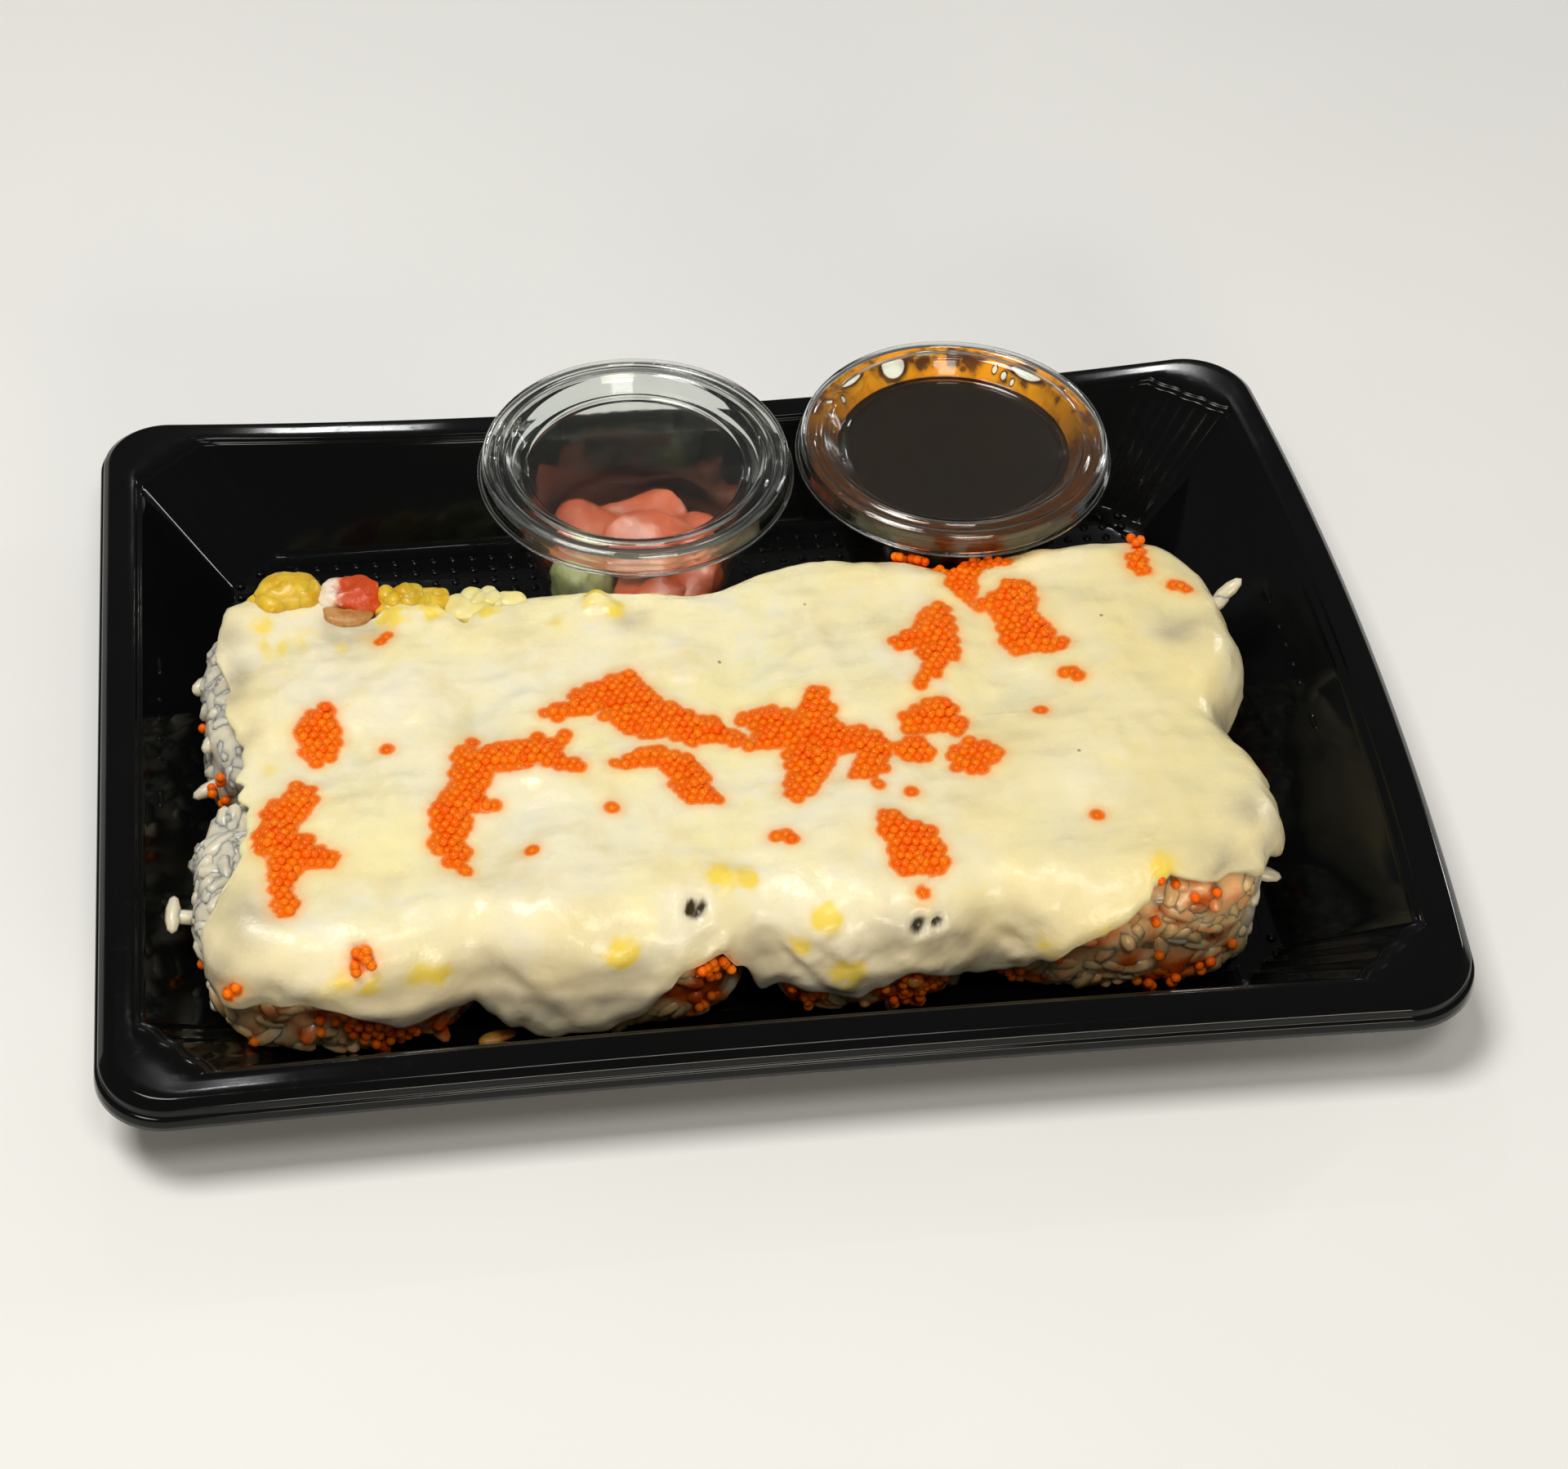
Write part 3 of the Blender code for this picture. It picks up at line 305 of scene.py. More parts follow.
class Strand:
    """One output of a node. Arithmetic on it adds Math nodes to the same finish."""

    def __init__(self, finish, socket):
        self.finish = finish
        self.socket = socket

    def math(self, operation, first, second):
        """A Math node on two values, each one a strand or a number."""
        return self.finish.add("ShaderNodeMath", {"operation": operation}, {0: first, 1: second})

    def __add__(self, other):
        return self.math("ADD", self, other)

    __radd__ = __add__

    def __sub__(self, other):
        return self.math("SUBTRACT", self, other)

    def __rsub__(self, other):
        return self.math("SUBTRACT", other, self)

    def __mul__(self, other):
        return self.math("MULTIPLY", self, other)

    __rmul__ = __mul__


class Finish:
    """A material that is built node by node."""

    def __init__(self, name):
        self.material = bpy.data.materials.new(name)
        self.material.use_nodes = True
        self.tree = self.material.node_tree
        self.tree.nodes.clear()
        self.place = self.add("ShaderNodeTexCoord", output="Object")

    def add(self, kind, settings=None, sockets=None, output=0):
        """Any node: its settings are set first, and then each socket takes a value or a strand."""
        node = self.tree.nodes.new(kind)
        for key, value in (settings or {}).items():
            setattr(node, key, value)
        for key, value in (sockets or {}).items():
            if isinstance(value, Strand):
                self.tree.links.new(value.socket, node.inputs[key])
            else:
                node.inputs[key].default_value = value
        return Strand(self, node.outputs[output])

    def mark(self, name):
        """A value that was stored at each point of the mesh."""
        return self.add("ShaderNodeAttribute", {"attribute_name": name}, output="Fac")

    def noise(self, size, detail=2.0, rough=0.5):
        """Noise whose lumps are about this many millimetres across."""
        sockets = {"Vector": self.place, "Scale": 1.0 / (size * MM), "Detail": detail, "Roughness": rough}
        return self.add("ShaderNodeTexNoise", {}, sockets)

    def ease(self, value, low, high):
        """0 up to the low value, 1 from the high one, and a smooth step between them."""
        sockets = {"Value": value, "From Min": low, "From Max": high}
        return self.add("ShaderNodeMapRange", {"interpolation_type": "SMOOTHSTEP"}, sockets)

    def blend(self, share, first, second):
        """The first colour where the share is 0 and the second where it is 1."""
        return self.add("ShaderNodeMix", {"data_type": "RGBA"}, {0: share, 6: first, 7: second}, 2)

    def layered(self, colour, *layers):
        """A colour with others blended over it in turn, each one given as its share and itself."""
        for share, above in layers:
            colour = self.blend(share, colour, above)
        return colour

    def bump(self, height, depth, strength=1.0):
        """A normal bent by a height between 0 and 1 that stands for this many millimetres."""
        sockets = {"Height": height, "Distance": depth * MM, "Strength": strength}
        return self.add("ShaderNodeBump", {}, sockets)

    def principled(self, **sockets):
        """The general surface shader. A socket's name has underscores in place of spaces."""
        named = {key.replace("_", " "): value for key, value in sockets.items()}
        return self.add("ShaderNodeBsdfPrincipled", {}, named)

    def done(self, shader):
        """The material, with this shader as its surface."""
        output = self.tree.nodes.new("ShaderNodeOutputMaterial")
        self.tree.links.new(shader.socket, output.inputs["Surface"])
        return self.material


# %% [markdown]
# The photo was taken from in front of the tray and well above it, with a long lens. A camera matrix has the
# directions to the right, up and backwards as its columns. The object lies a little off the picture's
# middle, and the lens shift accounts for that without turning the camera.

# %% Camera
YAW, PITCH, ROLL = 0.104, 0.798, 0.001
CAMERA_DISTANCE = 458.1
AIM = np.array([-18.29, 0.08, 0.0])


def turned_to(side, above, behind):
    """The matrix of a camera or lamp from its directions to the right, up and backwards."""
    return Matrix([[*row, 0.0] for row in np.column_stack([side, above, behind])] + [[0, 0, 0, 1]])


forward = np.array([math.sin(YAW) * math.cos(PITCH), math.cos(YAW) * math.cos(PITCH), -math.sin(PITCH)])
level_right = np.array([math.cos(YAW), -math.sin(YAW), 0.0])
level_up = np.cross(level_right, forward)
right = math.cos(ROLL) * level_right + math.sin(ROLL) * level_up
up = math.cos(ROLL) * level_up - math.sin(ROLL) * level_right
eye = (AIM - forward * CAMERA_DISTANCE + SHIFT) * MM

lens = bpy.data.cameras.new("camera")
lens.sensor_width = 36.0
lens.lens = 72.23
lens.shift_x = 0.1147
lens.shift_y = 0.0197
lens.clip_start = 0.01
camera = bpy.data.objects.new("camera", lens)
camera.matrix_world = turned_to(right, up, -forward)
camera.location = eye
bpy.context.scene.collection.objects.link(camera)
bpy.context.scene.camera = camera
bpy.context.scene.view_settings.view_transform = "Standard"
print("Camera at", eye.round(3), "m")

# %% [markdown]
# Black gloss shows its surroundings more than its own colour. The tray stays black only if what it mirrors
# is dark, so the room is dim, and one broad soft lamp hangs above the tray to the left, where the flat
# floor doesn't mirror it towards the camera. A smaller one above the front lights the hanging melt. A weak
# warm one fills the shade under it from low in front, low enough that the back wall doesn't mirror it.
# A few small bright panels give the thin streaks on the rim and the sparks on studs, lids and roe.

# %% Floor and light
scene = bpy.context.scene
STRAIGHT_DOWN = 0.99


def lamp(name, place, aim, width, height, watts, warmth=(1.0, 1.0, 1.0)):
    """A rectangular lamp at a place in metres that shines towards its aim."""
    light = bpy.data.lights.new(name, "AREA")
    light.shape = "RECTANGLE"
    light.size = width
    light.size_y = height
    light.energy = watts
    light.color = warmth
    stand = bpy.data.objects.new(name, light)
    back = unit(np.array(place, float) - np.array(aim, float))
    level = np.cross((0.0, 0.0, 1.0), back)
    side = unit(level if abs(back[2]) < STRAIGHT_DOWN else np.array([1.0, 0.0, 0.0]))
    stand.matrix_world = turned_to(side, np.cross(back, side), back)
    stand.location = place
    scene.collection.objects.link(stand)


lamp("soft_box", (-0.28, -0.03, 0.82), (-0.01, -0.01, 0.0), 0.30, 0.30, 4.5, (1.0, 0.98, 0.93))
lamp("front_top", (0.06, -0.36, 0.74), (0.0, -0.02, 0.01), 0.20, 0.20, 1.2, (1.0, 0.97, 0.90))
lamp("front_fill", (0.16, -1.08, 0.27), (0.0, 0.0, 0.01), 0.5, 0.2, 4.2, (1.0, 0.90, 0.74))
lamp("right_strip", (0.75, 0.45, 0.30), (0.05, 0.0, 0.0), 0.03, 0.35, 0.9)
lamp("back_left_spark", (-0.057, 0.991, 0.777), (-0.054, 0.064, 0.015), 0.075, 0.008, 0.26)
lamp("back_right_spark", (0.373, 0.964, 0.752), (0.074, 0.065, 0.015), 0.024, 0.010, 0.13)
lamp("front_left_spark", (-0.141, 0.678, 0.953), (-0.075, -0.068, 0.015), 0.028, 0.004, 0.07)

room = bpy.data.worlds.new("room")
room.use_nodes = True
background = room.node_tree.nodes["Background"]
background.inputs["Color"].default_value = (1.0, 0.98, 0.95, 1.0)
background.inputs["Strength"].default_value = 0.12
scene.world = room

paper = Finish("pale_floor")
paper_tone = paper.blend(paper.noise(60.0), tone(243, 243, 242), tone(248, 248, 247))
paper_finish = paper.done(paper.principled(Base_Color=paper_tone, Roughness=0.7))
FLOOR_HALF = 3.0
floor_mesh = bpy.data.meshes.new("studio_floor")
corners = [(-1, -1, 0), (1, -1, 0), (1, 1, 0), (-1, 1, 0)]
floor_mesh.from_pydata((np.array(corners) * FLOOR_HALF).tolist(), [], [(0, 1, 2, 3)])
floor_mesh.materials.append(paper_finish)
studio_floor = bpy.data.objects.new("studio_floor", floor_mesh)
scene.collection.objects.link(studio_floor)

# %% [markdown]
# The tray is one sheet of black plastic, drawn into a mould while soft. It is nearly a mirror, with a faint
# waviness that breaks the reflections, and with fine dull scuffs where trays rub in a stack.

# %% Finish: black plastic
black = Finish("black_plastic")
wave = black.noise(14.0, 1.0)
scuff = black.ease(black.noise(2.6, 5.0, 0.7), 0.56, 0.72)
black_finish = black.done(black.principled(
    Base_Color=black.blend(black.noise(30.0), tone(6, 7, 6), tone(11, 13, 13)),
    Roughness=0.06 + 0.04 * wave + 0.07 * scuff,
    Normal=black.bump(wave, 0.25, 0.35),
    Specular_IOR_Level=0.32,
    IOR=1.40,
))

# %% [markdown]
# The tray's section runs up the skirt, over the rim, down two fine steps and the sloping wall to the floor,
# and the same path offset by the thickness of the plastic runs back underneath. Each point of the section
# is carried round the plan: straight sides that bow a little, as a thin rim does, round outer corners, and
# a well whose corners are cut off and fluted to stiffen them.

# %% The tray's plan
TRAY_LENGTH, TRAY_WIDTH, TRAY_DEPTH, TRAY_WALL = 180.8, 138.4, 14.7, 0.5
RIM_WIDTH, WALL_RUN = 5.9, 13.2
OUTER_CORNER, CORNER_TIGHTENING = 10.0, 0.4
WELL_CORNER, FLOOR_CORNER = 9.5, 6.0
FLUTE_DEPTH, FLUTES = 0.3, 3
WELL_STARTS, WELL_FADE = 0.5, 0.4
BOW_BACK, BOW_RIGHT, BOW_FRONT = 4.6, 3.8, 1.2
LONG_STEPS, SHORT_STEPS, CORNER_STEPS = 48, 36, 48


def tray_plan(inset):
    """Rings of plan points, one for each inset from the outer edge.

    A corner is a quarter circle on the rim and a straight cut with a cosine wave in the well. The one turns
    into the other just before the rim ends. A side is bowed by a parabola that fades from the rim down to
    the floor.
    """
    inset = np.asarray(inset, float)[:, None]
    half_x, half_y = TRAY_LENGTH / 2 - inset, TRAY_WIDTH / 2 - inset
    share = np.linspace(0, 1, CORNER_STEPS + 1)[None, :]
    radius = OUTER_CORNER - CORNER_TIGHTENING * np.minimum(inset, RIM_WIDTH)
    low = np.clip((inset - RIM_WIDTH) / WALL_RUN, 0, 1)
    cut = WELL_CORNER + (FLOOR_CORNER - WELL_CORNER) * low
    wave = FLUTE_DEPTH * (0.5 - 0.5 * np.cos(TAU * FLUTES * share)) / math.sqrt(2.0)
    fluted = np.clip((inset - RIM_WIDTH + WELL_STARTS) / WELL_FADE, 0, 1)
    round_x = half_x - radius + radius * np.cos(share * TAU / 4)
    round_y = half_y - radius + radius * np.sin(share * TAU / 4)
    x = round_x + (half_x - cut * share - wave - round_x) * fluted
    y = round_y + (half_y - cut * (1 - share) - wave - round_y) * fluted
    corner = np.stack([x, y], axis=-1)
    mirrored = corner[:, ::-1]
    four = [corner, mirrored * (-1, 1), corner * (-1, -1), mirrored * (1, -1)]
    runs = []
    for index, steps in enumerate((LONG_STEPS, SHORT_STEPS, LONG_STEPS, SHORT_STEPS)):
        start, end = four[index][:, -1:], four[(index + 1) % 4][:, :1]
        runs += [four[index], start + (end - start) * (np.arange(1, steps) / steps)[None, :, None]]
    plan = np.concatenate(runs, axis=1)
    x, y = plan[..., 0], plan[..., 1]
    across, along = x / half_x, y / half_y
    bend = np.clip(1 - (inset - RIM_WIDTH) / WALL_RUN, 0, 1)
    y = y - bend * BOW_BACK * (1 - across**2) * np.clip(along, 0, 1) ** 2
    y = y + bend * BOW_FRONT * (1 - across**2) * np.clip(-along, 0, 1) ** 2
    x = x + bend * BOW_RIGHT * (1 - along**2) * np.clip(across, 0, 1) ** 2
    return np.stack([x, y], axis=-1)


# %% The tray's section and surface
FLOOR_EDGE = RIM_WIDTH + WALL_RUN
FLOOR_RAISED = 0.22
upper_corners = [
    (0.0, 10.7), (0.25, 12.3), (0.75, 12.5), (0.8, 13.6), (1.9, TRAY_DEPTH), (RIM_WIDTH - 0.2, TRAY_DEPTH),
    (RIM_WIDTH + 0.1, 14.15), (RIM_WIDTH + 0.75, 14.1), (RIM_WIDTH + 1.05, 13.6),
    (FLOOR_EDGE + 0.2, 0.0), (FLOOR_EDGE + 2.2, 0.0), (FLOOR_EDGE + 2.6, FLOOR_RAISED),
    (FLOOR_EDGE + 3.4, FLOOR_RAISED),
]
lower_corners = [
    (0.5, 10.7), (1.25, 12.4), (1.3, 13.4), (2.1, 14.2), (RIM_WIDTH - 0.5, 14.2), (RIM_WIDTH + 0.6, 13.2),
    (FLOOR_EDGE - 0.8, 0.1), (FLOOR_EDGE + 1.1, -TRAY_WALL), (FLOOR_EDGE + 3.4, -TRAY_WALL),
]
upper_section = refined(rounded(upper_corners, 0.3), 1.2)
lower_section = refined(rounded(lower_corners, 0.3), 2.5)
section = np.vstack([lower_section[::-1], upper_section])
plan = tray_plan(section[:, 0])
tray_grid = np.concatenate([plan, section[:, 1][:, None, None] + 0 * plan[..., :1]], axis=-1)
underneath, on_floor = (
    np.array([[[0.0, 0.0, height]]]) + 0 * tray_grid[:1] for height in (-TRAY_WALL, FLOOR_RAISED)
)
tray_skin = skin(np.concatenate([underneath, tray_grid, on_floor]))
put("tray_body", tray_skin, black_finish, ["tray"])
tray_upper = tray_grid[len(lower_section):]
tray_facing = facing(tray_upper)
tray_facing *= np.sign(tray_facing[-1, :, 2].mean())

# %% [markdown]
# Small round studs are pressed into the floor, where the food mustn't stick, and a few dots and dashes into
# the side walls. Under a lamp each stud shows one spark. They are shallow ellipsoids, sunk to their middle.

# %% Studs on the floor and marks on the walls
STUD_PITCH, STUD_RADIUS, STUD_HEIGHT = 3.0, 0.7, 0.4
STUDS_OFF_CUPS = 14.0
WALL_MARK_X, WALL_MARK_HEIGHT = 81.4, 11.4
field_x = np.arange(-70.0, 70.5, STUD_PITCH)
field_y = np.arange(19.0, 48.5, STUD_PITCH / 1.2)
stud_x, stud_y = (side.ravel() for side in np.meshgrid(field_x, field_y))
from_cups = np.array([np.hypot(stud_x - x, stud_y - y) for x, y in CUP_AXES.values()])
clear_of_cups = np.all(from_cups > STUDS_OFF_CUPS, axis=0)
stud_x, stud_y = stud_x[clear_of_cups], stud_y[clear_of_cups]
extra_x, extra_y = np.meshgrid([-70.0, -67.0, 70.0], [-48.5, -45.5, -42.5])
stud_x, stud_y = np.append(stud_x, extra_x.ravel()), np.append(stud_y, extra_y.ravel())
stud_at = np.column_stack([stud_x, stud_y, FLOOR_RAISED + 0 * stud_x])
ahead, upright = all_along((1, 0, 0), len(stud_at)), all_along((0, 0, 1), len(stud_at))
stud_axes = half_axes(ahead, upright, STUD_RADIUS, STUD_RADIUS, STUD_HEIGHT)
studs = scattered(stud_at, stud_axes, rings=6, sides=12)
wall_dots = [(side * WALL_MARK_X, y, WALL_MARK_HEIGHT) for side in (-1, 1) for y in (8.7, 4.8, 0.7, -3.1)]
wall_dashes = [(side * WALL_MARK_X, y, WALL_MARK_HEIGHT) for side in (-1, 1) for y in (15.6, -11.0)]
wall_at = np.array(wall_dots + wall_dashes)
wall_at, wall_normal = settled(wall_at, tray_upper.reshape(-1, 3), tray_facing.reshape(-1, 3), 0.0)
lengths = np.array([0.5] * len(wall_dots) + [1.9] * len(wall_dashes))
mark_axes = half_axes(all_along((0, 1, 0), len(wall_at)), wall_normal, lengths, 0.5, 0.25)
wall_marks = scattered(wall_at, mark_axes, rings=7, sides=10)
put("tray_studs", joined(studs, wall_marks), black_finish)

# %% [markdown]
# The cups and lids are thin clear plastic. A real thin wall lets most light straight through, but a path
# tracer finds no lamp through glass and leaves a dark shadow. So for shadow rays alone the shader is
# transparent, and for all others it is glass with a slightly uneven surface.

# %% Finish: clear plastic
def see_through(finish, glass, clear_tone):
    """The glass, or plain transparency where the ray only asks whether a lamp is in sight."""
    shadow_ray = finish.add("ShaderNodeLightPath", output="Is Shadow Ray")
    plain = finish.add("ShaderNodeBsdfTransparent", {}, {"Color": clear_tone})
    return finish.add("ShaderNodeMixShader", {}, {0: shadow_ray, 1: glass, 2: plain})


clear = Finish("clear_plastic")
ripple = clear.noise(5.0, 2.0)
clear_glass = clear.principled(
    Base_Color=clear.blend(ripple, tone(250, 252, 250), tone(242, 245, 242)),
    Roughness=0.03 + 0.05 * ripple,
    Transmission_Weight=1.0,
    IOR=1.49,
    Normal=clear.bump(ripple, 0.2, 0.25),
)
clear_finish = clear.done(see_through(clear, clear_glass, (0.9, 0.92, 0.9, 1.0)))

# %% [markdown]
# A portion cup is a turned shape: up its tapered outer wall, round a flat flange and down the inner wall.
# The lid has a sunk panel, a raised double ring that stiffens it, and a skirt that grips the flange. Both
# are closed profiles, rounded at every corner. The lid's panel is bare here.

# %% Cups and lids
CUP_SIDES = 144
CUP_BASE_RADIUS, CUP_TOP_RADIUS = 12.6, 20.4
INNER_FOOT_RADIUS, INNER_FOOT_HEIGHT = 12.4, 1.5
INNER_TOP_RADIUS, INNER_TOP_HEIGHT = CUP_TOP_RADIUS - 0.8, 28.3
CUP_PROFILE = [
    (0.0, 0.3), (CUP_BASE_RADIUS - 1.4, 0.3), (CUP_BASE_RADIUS - 1.0, 0.55), (CUP_BASE_RADIUS, 1.1),
    (CUP_TOP_RADIUS - 0.9, 26.0), (CUP_TOP_RADIUS - 0.4, 26.3), (CUP_TOP_RADIUS, 28.8),
    (CUP_TOP_RADIUS + 1.2, 29.0), (CUP_TOP_RADIUS + 1.2, 29.5), (CUP_TOP_RADIUS - 0.3, 29.5),
    (INNER_TOP_RADIUS, INNER_TOP_HEIGHT), (INNER_FOOT_RADIUS, INNER_FOOT_HEIGHT), (11.6, 0.9), (0.0, 0.9),
]
PANEL_HEIGHT, LID_TOP = 27.6, 30.5
LID_PROFILE = [
    (0.0, PANEL_HEIGHT), (15.9, PANEL_HEIGHT), (16.3, 27.9), (16.9, 27.9), (18.3, 30.1), (19.0, LID_TOP),
    (19.7, LID_TOP), (20.2, 30.1), (20.8, 30.1), (21.2, LID_TOP), (22.2, LID_TOP), (22.5, 30.0),
    (22.7, 28.4), (22.8, 27.5), (23.25, 27.4), (23.25, 27.0), (22.5, 27.0), (22.3, 28.6), (22.0, 29.8),
    (21.4, 30.05), (20.9, 29.7), (20.1, 29.7), (19.6, 30.05), (19.1, 30.05), (17.0, 27.5), (16.0, 27.45),
    (15.7, 27.2), (0.0, 27.2),
]
for side, axis in CUP_AXES.items():
    cup_skin = turned(refined(rounded(CUP_PROFILE, 0.25, 3), 4.0), CUP_SIDES, axis)
    put("portion_cup_" + side, cup_skin, clear_finish, ["cup_" + side])
    lid_skin = turned(rounded(LID_PROFILE, 0.22, 3), CUP_SIDES, axis)
    put("snap_lid_" + side, lid_skin, clear_finish, ["lid_" + side])


def cup_inner_radius(height):
    """Radius of the cup's inner wall at a height above the tray's floor."""
    share = (height - INNER_FOOT_HEIGHT) / (INNER_TOP_HEIGHT - INNER_FOOT_HEIGHT)
    return INNER_FOOT_RADIUS + share * (INNER_TOP_RADIUS - INNER_FOOT_RADIUS)


# %% [markdown]
# The dark sauce fills its cup nearly to the lid. Where it touches the plastic there is no air, so its body
# reaches just into the wall, and light passes straight from one into the other. Some of it has crept into
# the hollow ring of the lid. That film is thin enough to glow amber where something pale lies behind it,
# and that glow is painted into its colour as a painted backlight, strongest at the back of the ring.
# Trapped air leaves clear bubbles in it.

# %% Sauce and the film in the lid
INTO_WALL = 0.12
SAUCE_HEIGHT = 26.9
sauce = Finish("sauce")
sauce_finish = sauce.done(sauce.principled(
    Base_Color=sauce.blend(sauce.noise(8.0), tone(14, 9, 3), tone(26, 15, 5)),
    Roughness=0.06 + 0.05 * sauce.noise(6.0),
    IOR=1.37,
))
sauce_levels = np.linspace(1.9, SAUCE_HEIGHT, 14)
sauce_side = np.column_stack([cup_inner_radius(sauce_levels) + INTO_WALL, sauce_levels])
sauce_profile = np.vstack([
    (0.0, 0.85), (11.6, 0.85), sauce_side, (18.6, SAUCE_HEIGHT), (0.0, SAUCE_HEIGHT),
])
sauce_skin = turned(sauce_profile, CUP_SIDES, CUP_AXES["right"])
put("soy_sauce_body", sauce_skin, sauce_finish, ["soy_sauce"])

FILM_LOOP = [
    (17.3, 27.3), (18.3, 28.7), (19.15, 29.9), (19.5, 29.95), (20.1, 29.6), (20.9, 29.6), (21.4, 29.95),
    (21.8, 29.75), (21.85, 29.56), (20.2, 29.56), (19.8, 29.2), (19.4, 28.3), (18.9, 27.3), (18.2, 26.95),
]
FILM_BUBBLES = [
    # Turn about the cup's axis in degrees, half its length in degrees, middle radius and half width.
    (132.0, 6.5, 19.6, 0.6), (109.0, 6.0, 18.9, 1.1), (92.0, 4.5, 20.2, 0.5), (80.0, 2.0, 20.2, 0.4),
    (45.0, 8.0, 19.3, 0.6), (60.0, 1.2, 18.6, 0.4), (55.0, 1.4, 18.3, 0.4), (50.0, 1.1, 18.0, 0.35),
    (150.0, 1.4, 19.6, 0.4), (157.0, 1.0, 18.7, 0.35), (143.0, 1.2, 18.6, 0.3),
]
film_profile = refined(np.array([*FILM_LOOP, FILM_LOOP[0]]), 0.35)[:-1]
film_points, film_faces = turned(film_profile, 360, CUP_AXES["right"], wrap_rows=True)
film_offset = film_points[:, :2] - CUP_AXES["right"]
film_turn = np.degrees(np.arctan2(film_offset[:, 1], film_offset[:, 0]))
film_radius = np.hypot(film_offset[:, 0], film_offset[:, 1])
film_gap = np.min([
    np.hypot((film_turn - turn) / length, (film_radius - radius) / width)
    for turn, length, radius, width in FILM_BUBBLES
], axis=0)

amber = Finish("sauce_film")
bubble = amber.mark("bubble_gap")
painted_backlight = amber.mark("painted_backlight")
streak = amber.ease(amber.noise(3.2, 3.0), 0.45, 0.65)
inside = 1 - amber.ease(bubble, 0.85, 1.0)
outline = amber.ease(bubble, 0.8, 1.0) * (1 - amber.ease(bubble, 1.1, 1.5))
amber_glass = amber.principled(
    Base_Color=amber.layered(
        tone(74, 44, 14),
        # Painted backlight: golden where light comes through the film from behind.
        (painted_backlight, tone(238, 160, 12)),
        (streak, tone(88, 46, 10)),
        (outline, tone(70, 36, 14)),
        (inside, tone(240, 244, 240)),
    ),
    Roughness=0.04 + 0.1 * streak,
    Transmission_Weight=0.5,
    IOR=1.4,
)
amber_finish = amber.done(see_through(amber, amber_glass, (0.7, 0.45, 0.15, 1.0)))
# Painted backlight, strongest at the back of the ring and fading towards the front.
film_painted_backlight = np.clip(0.05 + 1.1 * np.sin(np.radians(film_turn + 8.0)), 0.0, 1.0)
film_marks = {"bubble_gap": film_gap, "painted_backlight": film_painted_backlight}
put("sauce_film", (film_points, film_faces), amber_finish, marks=film_marks)

# %% [markdown]
# Pickled ginger is sliced so thin that it folds and ruffles, and light passes through its edges. Each slice
# is a flattened sphere whose outline has soft lobes, bent into an arch with a ruffled margin. They lie on a
# lumpy core of folded slices, and a spoonful of green paste leans on the wall beside them.

# %% Finishes: ginger and green paste
pink = Finish("ginger")
fibre = pink.noise(1.6, 4.0, 0.65)
ginger_finish = pink.done(pink.principled(
    Base_Color=pink.layered(
        tone(166, 76, 44),
        (pink.ease(pink.noise(7.0), 0.35, 0.7), tone(138, 56, 32)),
        (pink.ease(fibre, 0.5, 0.8) * 0.5, tone(196, 120, 84)),
    ),
    Roughness=0.28 + 0.1 * fibre,
    **soaked(0.35, 1.6, 0.6, 0.35),
    Normal=pink.bump(fibre, 0.3, 0.4),
))
green = Finish("green_paste")
paste_grain = green.noise(1.2, 4.0, 0.7)
paste_finish = green.done(green.principled(
    Base_Color=green.blend(paste_grain, tone(138, 142, 88), tone(178, 176, 124)),
    Roughness=0.5 + 0.15 * paste_grain,
    Normal=green.bump(paste_grain, 0.5, 0.5),
))

# %% Ginger and paste in the left cup
PASTE_RADIUS, PASTE_TURN = 4.8, math.radians(208.0)
PASTE_SIDES, GINGER_SIDES = 72, 96
PASTE_PROFILE = [
    # Share of the radius, and height.
    (0.0, 1.3), (0.55, 1.3), (0.9, 2.4), (1.0, 6.0), (1.0, 10.0), (0.85, 13.2), (0.5, 15.0), (0.0, 15.5),
]
GINGER_PROFILE = [(0, 1.3), (0.88, 1.3), (1, 2.4), (1, 8.8), (0.86, 10.5), (0, 11.0)]
PASTE_OFF_WALL, GINGER_OFF_WALL, SLICE_OFF_WALL, GINGER_OFF_PASTE = 0.4, 0.45, 0.3, 0.7
GINGER_SLICES = [
    # Middle relative to the cup's axis, half sizes, and turns about x and z in degrees.
    ((1.5, -2.5, 15.4), (7.0, 5.0, 1.0), 24.0, 5.0),
    ((7.2, 2.0, 12.4), (5.0, 6.0, 0.8), -18.0, 40.0),
    ((3.0, 8.0, 11.2), (6.5, 4.4, 0.8), 12.0, -15.0),
    ((-6.0, 5.2, 11.4), (5.4, 6.0, 0.8), 8.0, 60.0),
    ((7.0, -7.0, 12.6), (4.6, 4.4, 0.9), 35.0, -30.0),
    ((2.8, -9.4, 11.2), (4.2, 3.0, 0.9), 20.0, 10.0),
    ((8.5, -5.0, 9.6), (3.6, 5.0, 0.8), 62.0, -58.0),
    ((10.6, 1.5, 10.2), (4.6, 3.4, 0.8), 74.0, 82.0),
    ((3.5, -11.0, 8.0), (5.0, 3.6, 0.8), 78.0, 12.0),
]


def spun(points, degrees, first, second):
    """Points turned from one axis towards another."""
    cosine, sine = math.cos(math.radians(degrees)), math.sin(math.radians(degrees))
    moved = points.copy()
    moved[..., first] = points[..., first] * cosine - points[..., second] * sine
    moved[..., second] = points[..., first] * sine + points[..., second] * cosine
    return moved


def ball(rows, columns):
    """The unit sphere as a grid from its lower pole to its upper one."""
    polar = np.linspace(-TAU / 4, TAU / 4, rows)[:, None]
    turn = once_round(columns)
    level = [np.cos(polar) * np.cos(turn), np.cos(polar) * np.sin(turn)]
    return np.stack([*level, np.sin(polar) + 0 * turn], axis=-1)


